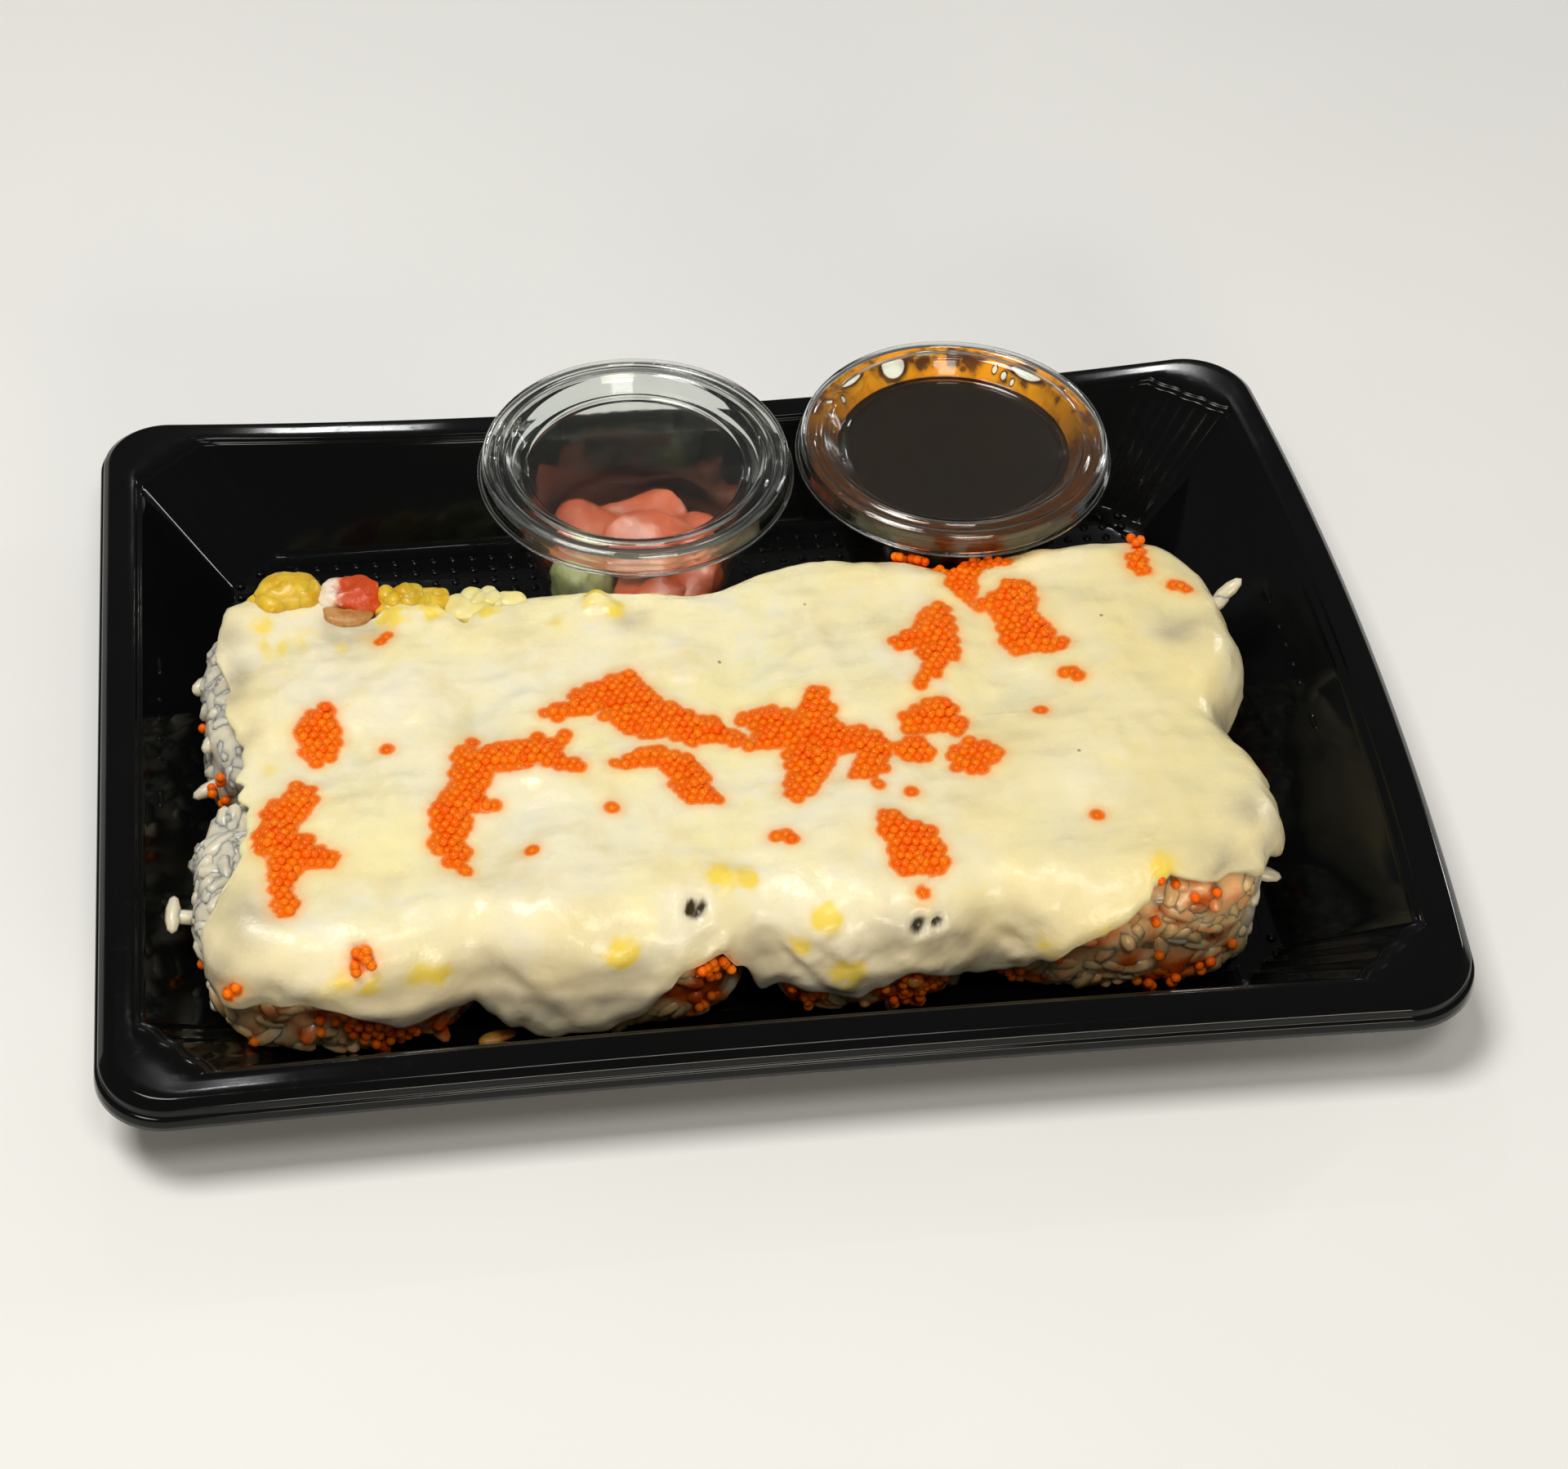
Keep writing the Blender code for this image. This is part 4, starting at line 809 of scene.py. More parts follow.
def ginger_slice(middle, halves, tilt, turn, number):
    """A flat sphere with three soft lobes: height adds a wave, an arch and a ruffle that grows outwards."""
    grid = ball(17, 44)
    angle = np.arctan2(grid[..., 1], grid[..., 0])
    out = np.hypot(grid[..., 0], grid[..., 1])
    lobes = 1 + 0.07 * np.cos(3 * angle + number) + 0.04 * np.cos(5 * angle + 2.0 * number)
    grid = grid * np.array(halves) * np.stack([lobes, lobes, 1 + 0 * lobes], axis=-1)
    along = grid[..., 0]
    grid[..., 2] += 0.7 * np.sin(along * TAU / 15.0) - along**2 / 45.0
    grid[..., 2] += 0.55 * out**3 * np.sin(4 * angle + 1.7 * number)
    grid = spun(spun(grid, tilt, 1, 2), turn, 0, 1)
    return grid + np.array(middle)


left_axis = np.array([*CUP_AXES["left"], 0.0])
paste_profile = rounded(PASTE_PROFILE, 0.9, 3)
turn = once_round(PASTE_SIDES)
paste_level = paste_profile[:, 1:] + 0 * turn
lean = cup_inner_radius(paste_level) - PASTE_OFF_WALL - PASTE_RADIUS
paste_middle = np.stack([lean * math.cos(PASTE_TURN), lean * math.sin(PASTE_TURN), paste_level], axis=-1)
paste_radius = PASTE_RADIUS * paste_profile[:, :1]
paste_round = [paste_radius * np.cos(turn), paste_radius * np.sin(turn), 0 * paste_level]
paste_grid = paste_middle + np.stack(paste_round, axis=-1)
paste_bumps = 0.06 * space_noise(paste_grid, 31, 3.0) + 0.03 * space_noise(paste_grid, 35, 1.4) - 0.05
paste_grid = paste_middle + (paste_grid - paste_middle) * (1 + paste_bumps[..., None])
put("wasabi_paste", skin(paste_grid + left_axis), paste_finish, ["green_paste"])

core_profile = refined(rounded(GINGER_PROFILE, 0.1), 1.0)
turn = once_round(GINGER_SIDES)
core_level = core_profile[:, 1:] + 0 * turn
wall = (cup_inner_radius(core_level) - GINGER_OFF_WALL) * core_profile[:, :1]
lean = cup_inner_radius(core_level) - PASTE_OFF_WALL - PASTE_RADIUS
clear_of_paste = PASTE_RADIUS + GINGER_OFF_PASTE
beside = lean * np.sin(turn - PASTE_TURN)
ahead_of = lean * np.cos(turn - PASTE_TURN) - np.sqrt(np.clip(clear_of_paste**2 - beside**2, 0, None))
faces_paste = (np.abs(beside) < clear_of_paste) & (np.cos(turn - PASTE_TURN) > 0)
core_radius = np.where(faces_paste, np.minimum(wall, np.maximum(ahead_of, 1.0)), wall)
core_grid = np.stack([core_radius * np.cos(turn), core_radius * np.sin(turn), core_level], axis=-1)
folds = 0.5 + 0.5 * space_noise(core_grid, 21, 6.0)
core_grid[..., :2] *= 1 - 0.07 * folds[..., None]
core_grid[..., 2] += np.where(core_level > 8.0, 1.1 * (folds - 0.5), 0.0)
slices = [skin(ginger_slice(*entry, number)) for number, entry in enumerate(GINGER_SLICES)]
ginger_points, ginger_faces = joined(skin(core_grid), *slices)
out = np.hypot(ginger_points[:, 0], ginger_points[:, 1])
limit = (cup_inner_radius(ginger_points[:, 2]) - SLICE_OFF_WALL) / np.maximum(out, 0.01)
ginger_points[:, :2] *= np.minimum(1.0, limit)[:, None]
put("ginger_slices", (ginger_points + left_axis, ginger_faces), ginger_finish, ["ginger"])

# %% [markdown]
# Cooked rice is glassy at its rim and white at heart, and in a pressed roll the grains stick together into
# one mass. Every grain here has its own tint. Where sauce and roe have run down, the rice is stained brown
# and orange, so a second stored value carries the stain.

# %% Finish: rice
rice = Finish("rice")
rice_tint = rice.mark("tint")
rice_stain = rice.mark("stain")
rice_cloud = rice.noise(3.0, 3.0)
rice_finish = rice.done(rice.principled(
    Base_Color=rice.layered(
        tone(222, 212, 188),
        (rice_tint, tone(240, 228, 204)),
        (rice.ease(rice_cloud, 0.5, 0.75) * 0.5, tone(200, 190, 166)),
        (rice.ease(rice_stain, 0.1, 0.45), tone(250, 196, 138)),
        (rice.ease(rice_stain, 0.45, 0.9), tone(214, 92, 16)),
    ),
    Roughness=0.2 + 0.14 * rice_cloud,
    **soaked(0.75, 1.3, 1.1, 0.9),
    Normal=rice.bump(rice.noise(1.1, 2.0), 0.12, 0.4),
))

# %% [markdown]
# A roll is a round of rice that stands on its cut face. Its plan is a superellipse, rounder than a square
# and squarer than a circle, because the rolls are packed side by side. The core follows the CAD solid a
# little inside it, and grains lie half sunk on it wherever the roll shows: on the outer sides and over the
# shoulder at the top, but not on its last rows round the middle. They start from a brick pattern and are
# shifted and turned by seeded draws.

# %% The rolls' cores
ROLLS = {
    # Left edge, right edge, middle in y, half depth in y, height.
    "roll_front_1": (-76.6, -39.3, -34.8, 16.6, 21.4),
    "roll_front_2": (-38.7, -3.3, -35.2, 16.4, 21.8),
    "roll_front_3": (-2.7, 27.7, -34.9, 16.2, 21.3),
    "roll_front_4": (28.3, 67.0, -34.6, 16.4, 21.6),
    "roll_back_1": (-75.0, -37.9, 0.6, 18.0, 21.6),
    "roll_back_2": (-37.3, -1.3, -2.6, 15.3, 21.2),
    "roll_back_3": (-0.7, 34.7, -1.2, 16.6, 21.7),
    "roll_back_4": (35.3, 69.4, -1.0, 16.7, 21.3),
}
ROLL_SQUARENESS, CORE_SQUARENESS = 2.7, 3.4
ROLL_SIDES = 120
TOP_ROUND, FOOT_ROUND, LEFT_FOOT_ROUND = 5.0, 4.5, 10.0
CORE_SHRINK, CORE_STANDS, CORE_TINT = 0.35, 0.3, 0.3
SIDE_ROWS, SHOULDER_ROWS, TOP_ROWS = 22, 10, 9
WAIST_ROW, BARE_ROWS = 12, 6


def roll_radius(turns, half_x, half_y, power=ROLL_SQUARENESS):
    """Distance from the middle to the superellipse |x/a|^p + |y/b|^p = 1 in each direction."""
    across, along = np.abs(np.cos(turns) / half_x), np.abs(np.sin(turns) / half_y)
    return (across**power + along**power) ** (-1 / power)


def roll_gap(points, name):
    """Distance from plan points to a roll's outline, measured from its middle. It is negative inside."""
    left, right, middle_y, half_y, _ = ROLLS[name]
    offset = points[..., :2] - ((left + right) / 2, middle_y)
    turns = np.arctan2(offset[..., 1], offset[..., 0])
    return np.linalg.norm(offset, axis=-1) - roll_radius(turns, (right - left) / 2, half_y)


def roll_core(name, seed):
    """Rings from the foot's middle out, up the side, over a round shoulder and in to the top's middle."""
    left, right, middle_y, half_y, height = ROLLS[name]
    turns = once_round(ROLL_SIDES)
    outline = roll_radius(turns, (right - left) / 2, half_y, CORE_SQUARENESS)[None, :] - CORE_SHRINK
    to_wall = np.clip(-np.cos(turns), 0, 1) ** 2 if name.endswith("_1") else 0 * turns
    foot = FOOT_ROUND + (LEFT_FOOT_ROUND - FOOT_ROUND) * to_wall
    level = np.linspace(0.0, height - TOP_ROUND - CORE_STANDS, SIDE_ROWS)[:, None]
    rest = np.clip(foot - level, 0, foot)
    side = outline - (foot - np.sqrt(foot**2 - rest**2))
    bend = np.linspace(0, TAU / 4, SHOULDER_ROWS)[1:, None]
    shoulder = outline - TOP_ROUND * (1 - np.cos(bend))
    inwards = np.linspace(0.86, 0.0, TOP_ROWS)[:, None]
    radius = np.vstack([0 * outline, side, shoulder, (outline - TOP_ROUND) * inwards])
    shoulder_level = level[-1] + TOP_ROUND * np.sin(bend)
    top_level = 0 * inwards + height - CORE_STANDS
    levels = np.vstack([[[0.0]], level, shoulder_level, top_level]) + CORE_STANDS
    levels = levels - CORE_SHRINK * np.clip(levels / height, 0, 1) ** 4
    grid = np.stack([
        (left + right) / 2 + radius * np.cos(turns),
        middle_y + radius * np.sin(turns),
        levels + 0 * radius,
    ], axis=-1)
    lumps = 0.5 * space_noise(grid, seed, 6.0) + 0.3 * space_noise(grid, seed + 5, 3.2)
    fade = np.clip(radius / 6.0, 0, 1)[..., None] * np.clip(levels / 2.0, 0, 1)[..., None]
    return grid + facing(grid) * lumps[..., None] * fade


# %% [markdown]
# The sheet hangs on one outline round all eight rolls. From a short spine in the middle of the block a fan
# of rays goes out, and each ray ends where the rolls do. To bridge the notches between rolls, the distance
# to the block is a soft minimum of the eight distances, -s log(sum of exp(-d/s)), which rounds them off.
# The ray's end is found by halving the stretch that holds it, again and again.

# %% The outline of the block
BLOCK_SPINE, BLOCK_MIDDLE = (-45.0, 40.0), -18.2
OUTLINE_SOFTNESS, OUTLINE_CLEARANCE = 4.5, 0.5
SPINE_RAYS, END_RAYS = 170, 110


def block_outline():
    """Start, direction and length of each ray, along the front, round the right end, back and round."""
    along = np.arange(SPINE_RAYS) / SPINE_RAYS
    round_end = np.arange(END_RAYS) / END_RAYS
    start, end = BLOCK_SPINE
    forth, back = start + (end - start) * along, end - (end - start) * along
    x = np.concatenate([forth, end + 0 * round_end, back, start + 0 * round_end])
    right_end, left_end = -0.25 + 0.5 * round_end, 0.25 + 0.5 * round_end
    turn = np.concatenate([0 * along - 0.25, right_end, 0 * along + 0.25, left_end])
    origin = np.column_stack([x, BLOCK_MIDDLE + 0 * x])
    heading = np.column_stack([np.cos(turn * TAU), np.sin(turn * TAU)])
    near, far = 0 * x + 10.0, 0 * x + 60.0
    for _ in range(24):
        halfway = (near + far) / 2
        points = origin + heading * halfway[:, None]
        total = sum(np.exp(-roll_gap(points, name) / OUTLINE_SOFTNESS) for name in ROLLS)
        inside = -OUTLINE_SOFTNESS * np.log(total) < OUTLINE_CLEARANCE
        near, far = np.where(inside, halfway, near), np.where(inside, far, halfway)
    return origin, heading, near


origin, heading, reach = block_outline()
outline_plan = origin + heading * reach[:, None]
print("The block is", np.ptp(outline_plan, axis=0).round(1), "mm long and wide")

# %% [markdown]
# Grains of rice: each one is 5.6 by 2.3 mm, bent a little, and has few faces because there are thousands.
# None is needed where the neighbours hide the roll or where the sheet covers it, apart from a band under
# the sheet's edge and the back left corner, which the melt leaves bare.

# %% Rice grains on the rolls
GRAIN_LENGTH, GRAIN_WIDTH = 5.6, 2.3
GRAIN_BAND, GRAIN_PITCH = 1.75, 3.3
HIDDEN_GAP, TOP_BAND, TOP_REACH, BLOCK_REACH = 1.3, 1.6, 9.0, 14.0
STRAY_GRAINS = {
    "roll_front_1": [((-77.8, -35.4, 13.4), (-1.0, 0.1, 0.1)), ((-79.7, -35.2, 13.9), (0.1, 1.0, 0.3))],
    "roll_back_1": [((-74.5, -10.8, 12.4), (-1.0, -0.5, -0.2))],
    "roll_front_4": [((67.2, -41.0, 12.0), (1.0, -0.3, -0.2))],
    "roll_back_4": [((71.2, 6.2, 17.6), (1.0, 0.45, 0.3)), ((73.3, 7.6, 18.9), (1.0, 0.2, 0.9))],
}
STAINS = [
    # Where sauce and roe have run into the rice, and how far.
    ((-53.0, -51.0, 7.0), 8.0), ((-45.0, -51.0, 6.0), 7.0), ((-9.0, -51.0, 9.0), 9.0),
    ((18.0, -50.5, 5.0), 8.0), ((33.0, -47.0, 5.0), 6.0), ((2.0, -51.0, 5.0), 5.0),
    ((54.0, -49.0, 3.0), 6.0),
]


def bells(points, places):
    """The strongest of several bell curves exp(-(d/size)^2) round their middles."""
    gaps = [((points - np.array(place)) ** 2).sum(axis=-1) / size**2 for place, size in places]
    return np.exp(-np.min(gaps, axis=0))


def stain_at(points):
    """The strongest of the stains, with half a stain all along the front, broken up by noise."""
    front = 0.5 * np.clip((-44.0 - points[:, 1]) / 5.0, 0, 1)
    uneven = 1.1 + 0.5 * space_noise(points, 90, 4.0)
    return np.clip(np.maximum(bells(points, STAINS), front) * uneven, 0, 1)


def grain_spots(grid, normals, draws):
    """Places on the grid in a brick pattern with seeded shifts, from the foot to just past the shoulder."""
    length = np.concatenate([[0], np.cumsum(np.linalg.norm(np.diff(grid, axis=0), axis=-1).mean(axis=1))])
    band = np.arange(length[1] + 0.4, length[-BARE_ROWS - 1], GRAIN_BAND)[:, None]
    around = int(np.linalg.norm(np.diff(grid[WAIST_ROW], axis=0), axis=-1).sum() / GRAIN_PITCH)
    place = band + draws.uniform(-0.7, 0.7, (len(band), around))
    share = (np.arange(around) + 0.5 * (np.arange(len(band))[:, None] % 2)) / around
    share = (share + draws.uniform(-0.35, 0.35, place.shape) / around) % 1.0
    row = np.interp(place, length, np.arange(len(length))).ravel()
    column = (share * grid.shape[1]).ravel()
    low, left = np.floor(row).astype(int), np.floor(column).astype(int) % grid.shape[1]
    down, across = (row - low)[:, None], (column - np.floor(column))[:, None]
    low_after, left_after = np.minimum(low + 1, len(grid) - 1), (left + 1) % grid.shape[1]
    found = []
    for values in (grid, normals):
        upper = values[low, left] * (1 - across) + values[low, left_after] * across
        lower = values[low_after, left] * (1 - across) + values[low_after, left_after] * across
        found.append(upper * (1 - down) + lower * down)
    return found[0], unit(found[1])


def shown_spots(name, spots, draws):
    """Which spots get a grain: fewer of them at the front, where the rice is pressed to a smooth face."""
    _, from_edge = nearest(spots[:, :2], outline_plan)
    to_others = np.min([roll_gap(spots, other) for other in ROLLS if other != name], axis=0)
    seen = to_others > HIDDEN_GAP
    below_top = spots[:, 2] < ROLLS[name][4] - TOP_BAND
    shown = seen & (below_top | (from_edge < TOP_REACH)) & (from_edge < BLOCK_REACH)
    shown |= (spots[:, 0] < -40) & (spots[:, 1] > 2) & seen
    return shown & (draws.random(len(spots)) < np.where(spots[:, 1] < -44, 0.55, 0.72))


def stray_grains(strays):
    """Centres and half axes of the grains whose places and headings are given."""
    along = np.array([heading for _, heading in strays], float)
    above = all_along((0, 0, 1), len(strays))
    above = unit(above - (above * unit(along)).sum(axis=1, keepdims=True) * unit(along))
    axes = half_axes(along, above, GRAIN_LENGTH / 2, GRAIN_WIDTH / 2, GRAIN_WIDTH / 2.3)
    return np.array([middle for middle, _ in strays]), axes


roll_skins = {}
for index, name in enumerate(ROLLS):
    draws = np.random.default_rng(200 + index)
    grid = roll_core(name, 40 + 3 * index)
    normals = facing(grid)
    roll_skins[name] = [values[1:-BARE_ROWS].reshape(-1, 3) for values in (grid, normals)]
    spots, outwards = grain_spots(grid, normals, draws)
    shown = shown_spots(name, spots, draws)
    spots, outwards = spots[shown], outwards[shown]
    swirl = draws.normal(size=spots.shape)
    size = draws.uniform(0.82, 1.08, len(spots))
    outwards = unit(outwards + 0.22 * draws.normal(size=spots.shape))
    half_sizes = (size * GRAIN_LENGTH / 2, size * GRAIN_WIDTH * 0.62, size * GRAIN_WIDTH * 0.56)
    axes = half_axes(swirl, outwards, *half_sizes)
    centres = spots + outwards * draws.uniform(-1.15, -0.7, len(spots))[:, None]
    if name in STRAY_GRAINS:
        stray_centres, stray_axes = stray_grains(STRAY_GRAINS[name])
        centres = np.vstack([centres, stray_centres])
        axes = np.vstack([axes, stray_axes])
    centres[:, 2] = np.maximum(centres[:, 2], np.abs(axes[:, :, 2]).sum(axis=1) * 0.8 + 0.1)
    grains = scattered(centres, axes, rings=6, sides=7, bend=0.1)
    grain_tint = np.repeat(draws.random(len(centres)), len(grains[0]) // len(centres))
    tint = np.concatenate([np.full(grid[..., 0].size, CORE_TINT), grain_tint])
    shell = joined(skin(grid), grains)
    marks = {"tint": tint, "stain": stain_at(shell[0])}
    put(name + "_rice", shell, rice_finish, [name], marks)
    print("   with", len(centres), "grains")

# %% [markdown]
# Melted cheese is one smooth sheet. Each ray of the fan becomes a column of its grid: it runs from the
# spine to the edge of the block, bends down over it on a quarter circle and hangs as far as the melt has
# run. The length of that run differs from place to place, which makes the drips at the front. The lip is a
# half circle, and the same path without the thickness runs back underneath.

# %% The cheese's edge
SHEET_UNDERSIDE, SHEET_ROUND, SHEET_THICKNESS = 22.6, 5.5, 1.7
BLOCK_SQUEEZE = 0.45
VALLEY_DEPTH, VALLEY_WIDTH = 0.45, 3.6
EDGE_DROPS = [
    # x and y of a station on the edge, and how far the sheet runs on from where it starts to bend.
    (-75.5, 0.0, -0.4), (-75.0, -12.0, 0.6), (-73.0, -18.5, 2.0), (-76.0, -24.0, -1.0),
    (-77.0, -29.0, -4.0), (-77.1, -35.0, -4.5), (-77.0, -40.0, -4.5), (-76.6, -43.0, -1.5),
    (-76.0, -45.0, 6.0), (-74.7, -47.0, 12.5), (-70.5, -49.8, 12.2), (-66.2, -51.3, 10.6),
    (-61.5, -51.8, 10.8), (-56.8, -51.9, 11.7), (-53.7, -51.9, 13.9), (-50.0, -51.5, 16.0),
    (-46.2, -50.5, 15.2), (-42.0, -49.2, 15.2), (-38.6, -48.3, 17.4), (-35.5, -49.4, 19.4),
    (-31.8, -50.9, 20.4), (-28.1, -51.8, 19.8), (-23.8, -52.2, 18.8), (-19.5, -52.2, 17.0),
    (-15.2, -51.9, 12.4), (-12.5, -51.5, 10.1), (-8.6, -50.3, 8.8), (-5.6, -49.1, 12.0),
    (-2.4, -48.8, 17.4), (0.0, -49.3, 15.8), (5.7, -51.3, 16.3), (10.0, -51.8, 17.6), (13.2, -51.8, 15.4),
    (17.5, -51.5, 13.6), (21.0, -50.8, 14.5), (24.2, -49.5, 16.6), (27.5, -48.3, 18.6),
    (30.3, -48.2, 17.6), (32.5, -49.0, 16.2), (35.0, -50.0, 13.6), (38.8, -51.0, 9.4), (43.7, -51.5, 7.0),
    (47.4, -51.5, 4.8), (49.5, -51.5, 2.6), (52.1, -51.4, 2.0), (57.8, -50.4, 4.4), (65.3, -45.1, 6.0),
    (68.0, -40.0, 8.0), (71.0, -34.0, 9.0), (71.0, -20.0, 13.0), (71.0, -4.0, 12.0), (66.0, 14.0, 7.0),
    (50.0, 16.0, 7.0), (36.0, 15.9, 8.0), (20.0, 15.9, 11.0), (4.0, 15.9, 8.0), (-8.0, 13.2, 6.5),
    (-20.0, 13.2, 7.0), (-30.0, 13.2, 7.0), (-34.0, 13.3, 7.0), (-37.0, 13.8, 7.0), (-40.0, 15.5, 3.0),
    (-45.0, 18.2, -0.8), (-48.0, 18.8, -2.2), (-51.0, 19.0, -3.4), (-55.0, 19.0, -4.4),
    (-58.0, 19.0, -2.2), (-62.0, 18.6, 0.6), (-66.0, 17.6, 1.8), (-70.0, 15.0, 2.2), (-74.0, 8.0, 1.2),
]


def edge_drop(plan):
    """The run at each outline point, eased between the stations on either side of it round the block."""
    stations = np.array(EDGE_DROPS)
    turn = np.arctan2(plan[:, 1] - BLOCK_MIDDLE, plan[:, 0] * BLOCK_SQUEEZE)
    marks = np.arctan2(stations[:, 1] - BLOCK_MIDDLE, stations[:, 0] * BLOCK_SQUEEZE)
    order = np.argsort(marks)
    marks, drops = marks[order], stations[order, 2]
    marks = np.concatenate([marks[-1:] - TAU, marks, marks[:1] + TAU])
    drops = np.concatenate([drops[-1:], drops, drops[:1]])
    slot = np.clip(np.searchsorted(marks, turn) - 1, 0, len(marks) - 2)
    share = (turn - marks[slot]) / (marks[slot + 1] - marks[slot])
    return drops[slot] + (drops[slot + 1] - drops[slot]) * share * share * (3 - 2 * share)


ragged = 0.4 * plane_noise(*outline_plan.T, 301, 6.0) + 0.25 * plane_noise(*outline_plan.T, 302, 3.0)
drop = edge_drop(outline_plan) + ragged

# %% [markdown]
# The sheet sinks a little over the seams between the rolls, and it is thicker and thinner in soft lumps.
# Roe lies in low swellings, and three small holes have foamy rims. Each such place is a middle point and a
# size, and its strength fades as a bell curve with the distance from it.

# %% The cheese's relief
ROE_PATCHES = [
    # Each patch on the top is a chain of places x, y, half width.
    [(-58.2, -10.0, 1.7), (-58.9, -13.2, 3.2), (-58.8, -15.8, 2.6)],
    [(-61.8, -23.4, 1.6), (-62.0, -26.0, 2.8), (-64.5, -28.8, 2.6), (-65.2, -33.5, 2.9), (-62.6, -35.4, 2.9)],
    [(-62.6, -36.0, 2.2), (-58.6, -37.0, 1.3)],
    [(-64.0, -36.0, 2.4), (-64.7, -41.0, 2.0), (-64.1, -44.6, 1.6)],
    [(-25.3, -17.4, 0.9), (-29.5, -19.8, 2.6), (-34.0, -20.4, 2.9), (-38.0, -20.6, 2.8), (-39.3, -26.0, 2.6)],
    [(-39.3, -26.0, 2.6), (-42.0, -30.5, 2.5), (-42.6, -35.0, 2.3), (-41.6, -37.8, 1.8), (-40.5, -40.0, 0.7)],
    [(-28.5, -21.5, 2.0), (-24.4, -23.6, 0.9)], [(-39.0, -27.5, 1.9), (-36.9, -29.2, 1.1)],
    [(-27.0, -13.0, 1.2), (-24.5, -12.2, 1.5), (-21.0, -10.2, 3.0), (-17.0, -9.5, 3.6), (-15.5, -13.0, 4.0)],
    [(-15.5, -13.0, 4.0), (-12.0, -15.5, 3.3), (-8.5, -17.8, 3.1), (-5.5, -17.5, 2.2), (-3.0, -19.0, 1.2)],
    [(-3.0, -19.0, 1.2), (-0.8, -21.7, 0.7)], [(-15.5, -5.2, 0.6), (-16.0, -8.0, 1.8)],
    [(-18.6, -13.6, 2.0), (-14.6, -17.2, 1.7)],
    [(-18.8, -24.0, 1.0), (-16.0, -22.4, 1.3), (-13.0, -22.8, 1.8), (-9.8, -26.0, 2.6), (-9.0, -30.0, 2.3)],
    [(-9.0, -30.0, 2.0), (-6.8, -31.0, 1.1)], [(0.8, -16.0, 2.2), (3.0, -17.6, 3.2), (2.6, -20.4, 2.6)],
    [(9.8, -13.4, 1.5), (9.2, -17.0, 2.6), (8.0, -21.0, 3.6), (7.2, -25.0, 3.2)],
    [(7.2, -25.0, 3.2), (5.6, -29.0, 2.6), (4.4, -31.4, 1.4)],
    [(3.0, -18.5, 3.0), (8.0, -20.0, 3.2), (12.5, -22.0, 2.6), (16.2, -23.0, 2.5), (15.2, -26.5, 2.2)],
    [(15.2, -26.5, 2.2), (13.5, -29.0, 1.3)], [(18.8, -24.3, 0.9), (21.6, -24.3, 2.8)],
    [(21.2, -21.0, 1.1), (22.4, -18.8, 1.9), (26.0, -18.3, 2.8), (27.8, -19.9, 1.8)],
    [(28.8, -23.8, 1.1), (29.0, -26.3, 2.9), (31.2, -26.4, 1.9)],
    [(28.0, -27.6, 2.0), (30.5, -29.4, 0.8)],
    [(28.9, 1.3, 2.0), (28.2, -2.8, 3.0), (27.6, -7.0, 2.4), (25.8, -11.0, 1.1), (23.9, -12.8, 0.9)],
    [(22.7, -3.9, 1.4), (26.0, -2.9, 2.2)], [(31.8, 12.6, 1.5), (37.0, 12.8, 1.7), (41.5, 12.4, 1.2)],
    [(34.6, 11.5, 2.4), (34.0, 8.5, 2.4), (33.8, 5.5, 1.6)],
    [(35.2, 2.8, 1.0), (38.5, 2.5, 2.2), (41.0, 4.6, 3.0), (40.6, 0.5, 3.0), (41.4, -3.5, 3.9)],
    [(39.0, -4.5, 2.0), (38.6, -6.6, 1.0)], [(42.5, -4.5, 2.4), (44.8, -5.8, 1.3)],
    [(16.3, -36.6, 1.3), (17.0, -40.0, 2.6), (18.6, -42.0, 3.8), (17.0, -44.5, 2.5), (20.6, -44.8, 2.0)],
    [(19.0, -41.5, 2.5), (21.4, -40.0, 1.3)], [(0.8, -38.3, 1.0), (2.7, -39.9, 1.1)],
    [(44.6, -11.4, 0.9), (46.3, -12.8, 0.9)], [(61.0, 12.0, 0.9), (59.5, 9.4, 1.6), (60.6, 7.0, 0.7)],
    [(64.2, 4.5, 0.8), (66.2, 3.2, 0.6)],
]
SINGLE_ROE = [
    (-31.8, -38.0), (-20.5, -31.2), (19.7, -32.4), (43.6, -38.9), (40.0, -18.7), (-48.6, 5.2), (-49.4, 4.0),
    (-49.7, -17.0), (18.3, -49.6), (15.4, -30.9), (-38.0, -16.6), (50.4, -51.6),
]
PIT_DEPTH, RIM_HEIGHT, SHEET_THINNEST = 2.2, 0.5, 0.35
PATCH_SHOULDER, PATCH_SWELLS, SHEET_TOP_ABOVE = 1.6, 0.3, 21.5
HOLES = [((-11.4, -49.3, 23.0), 1.35), ((17.6, -52.6, 19.8), 1.1), ((19.9, -52.2, 20.2), 0.85)]
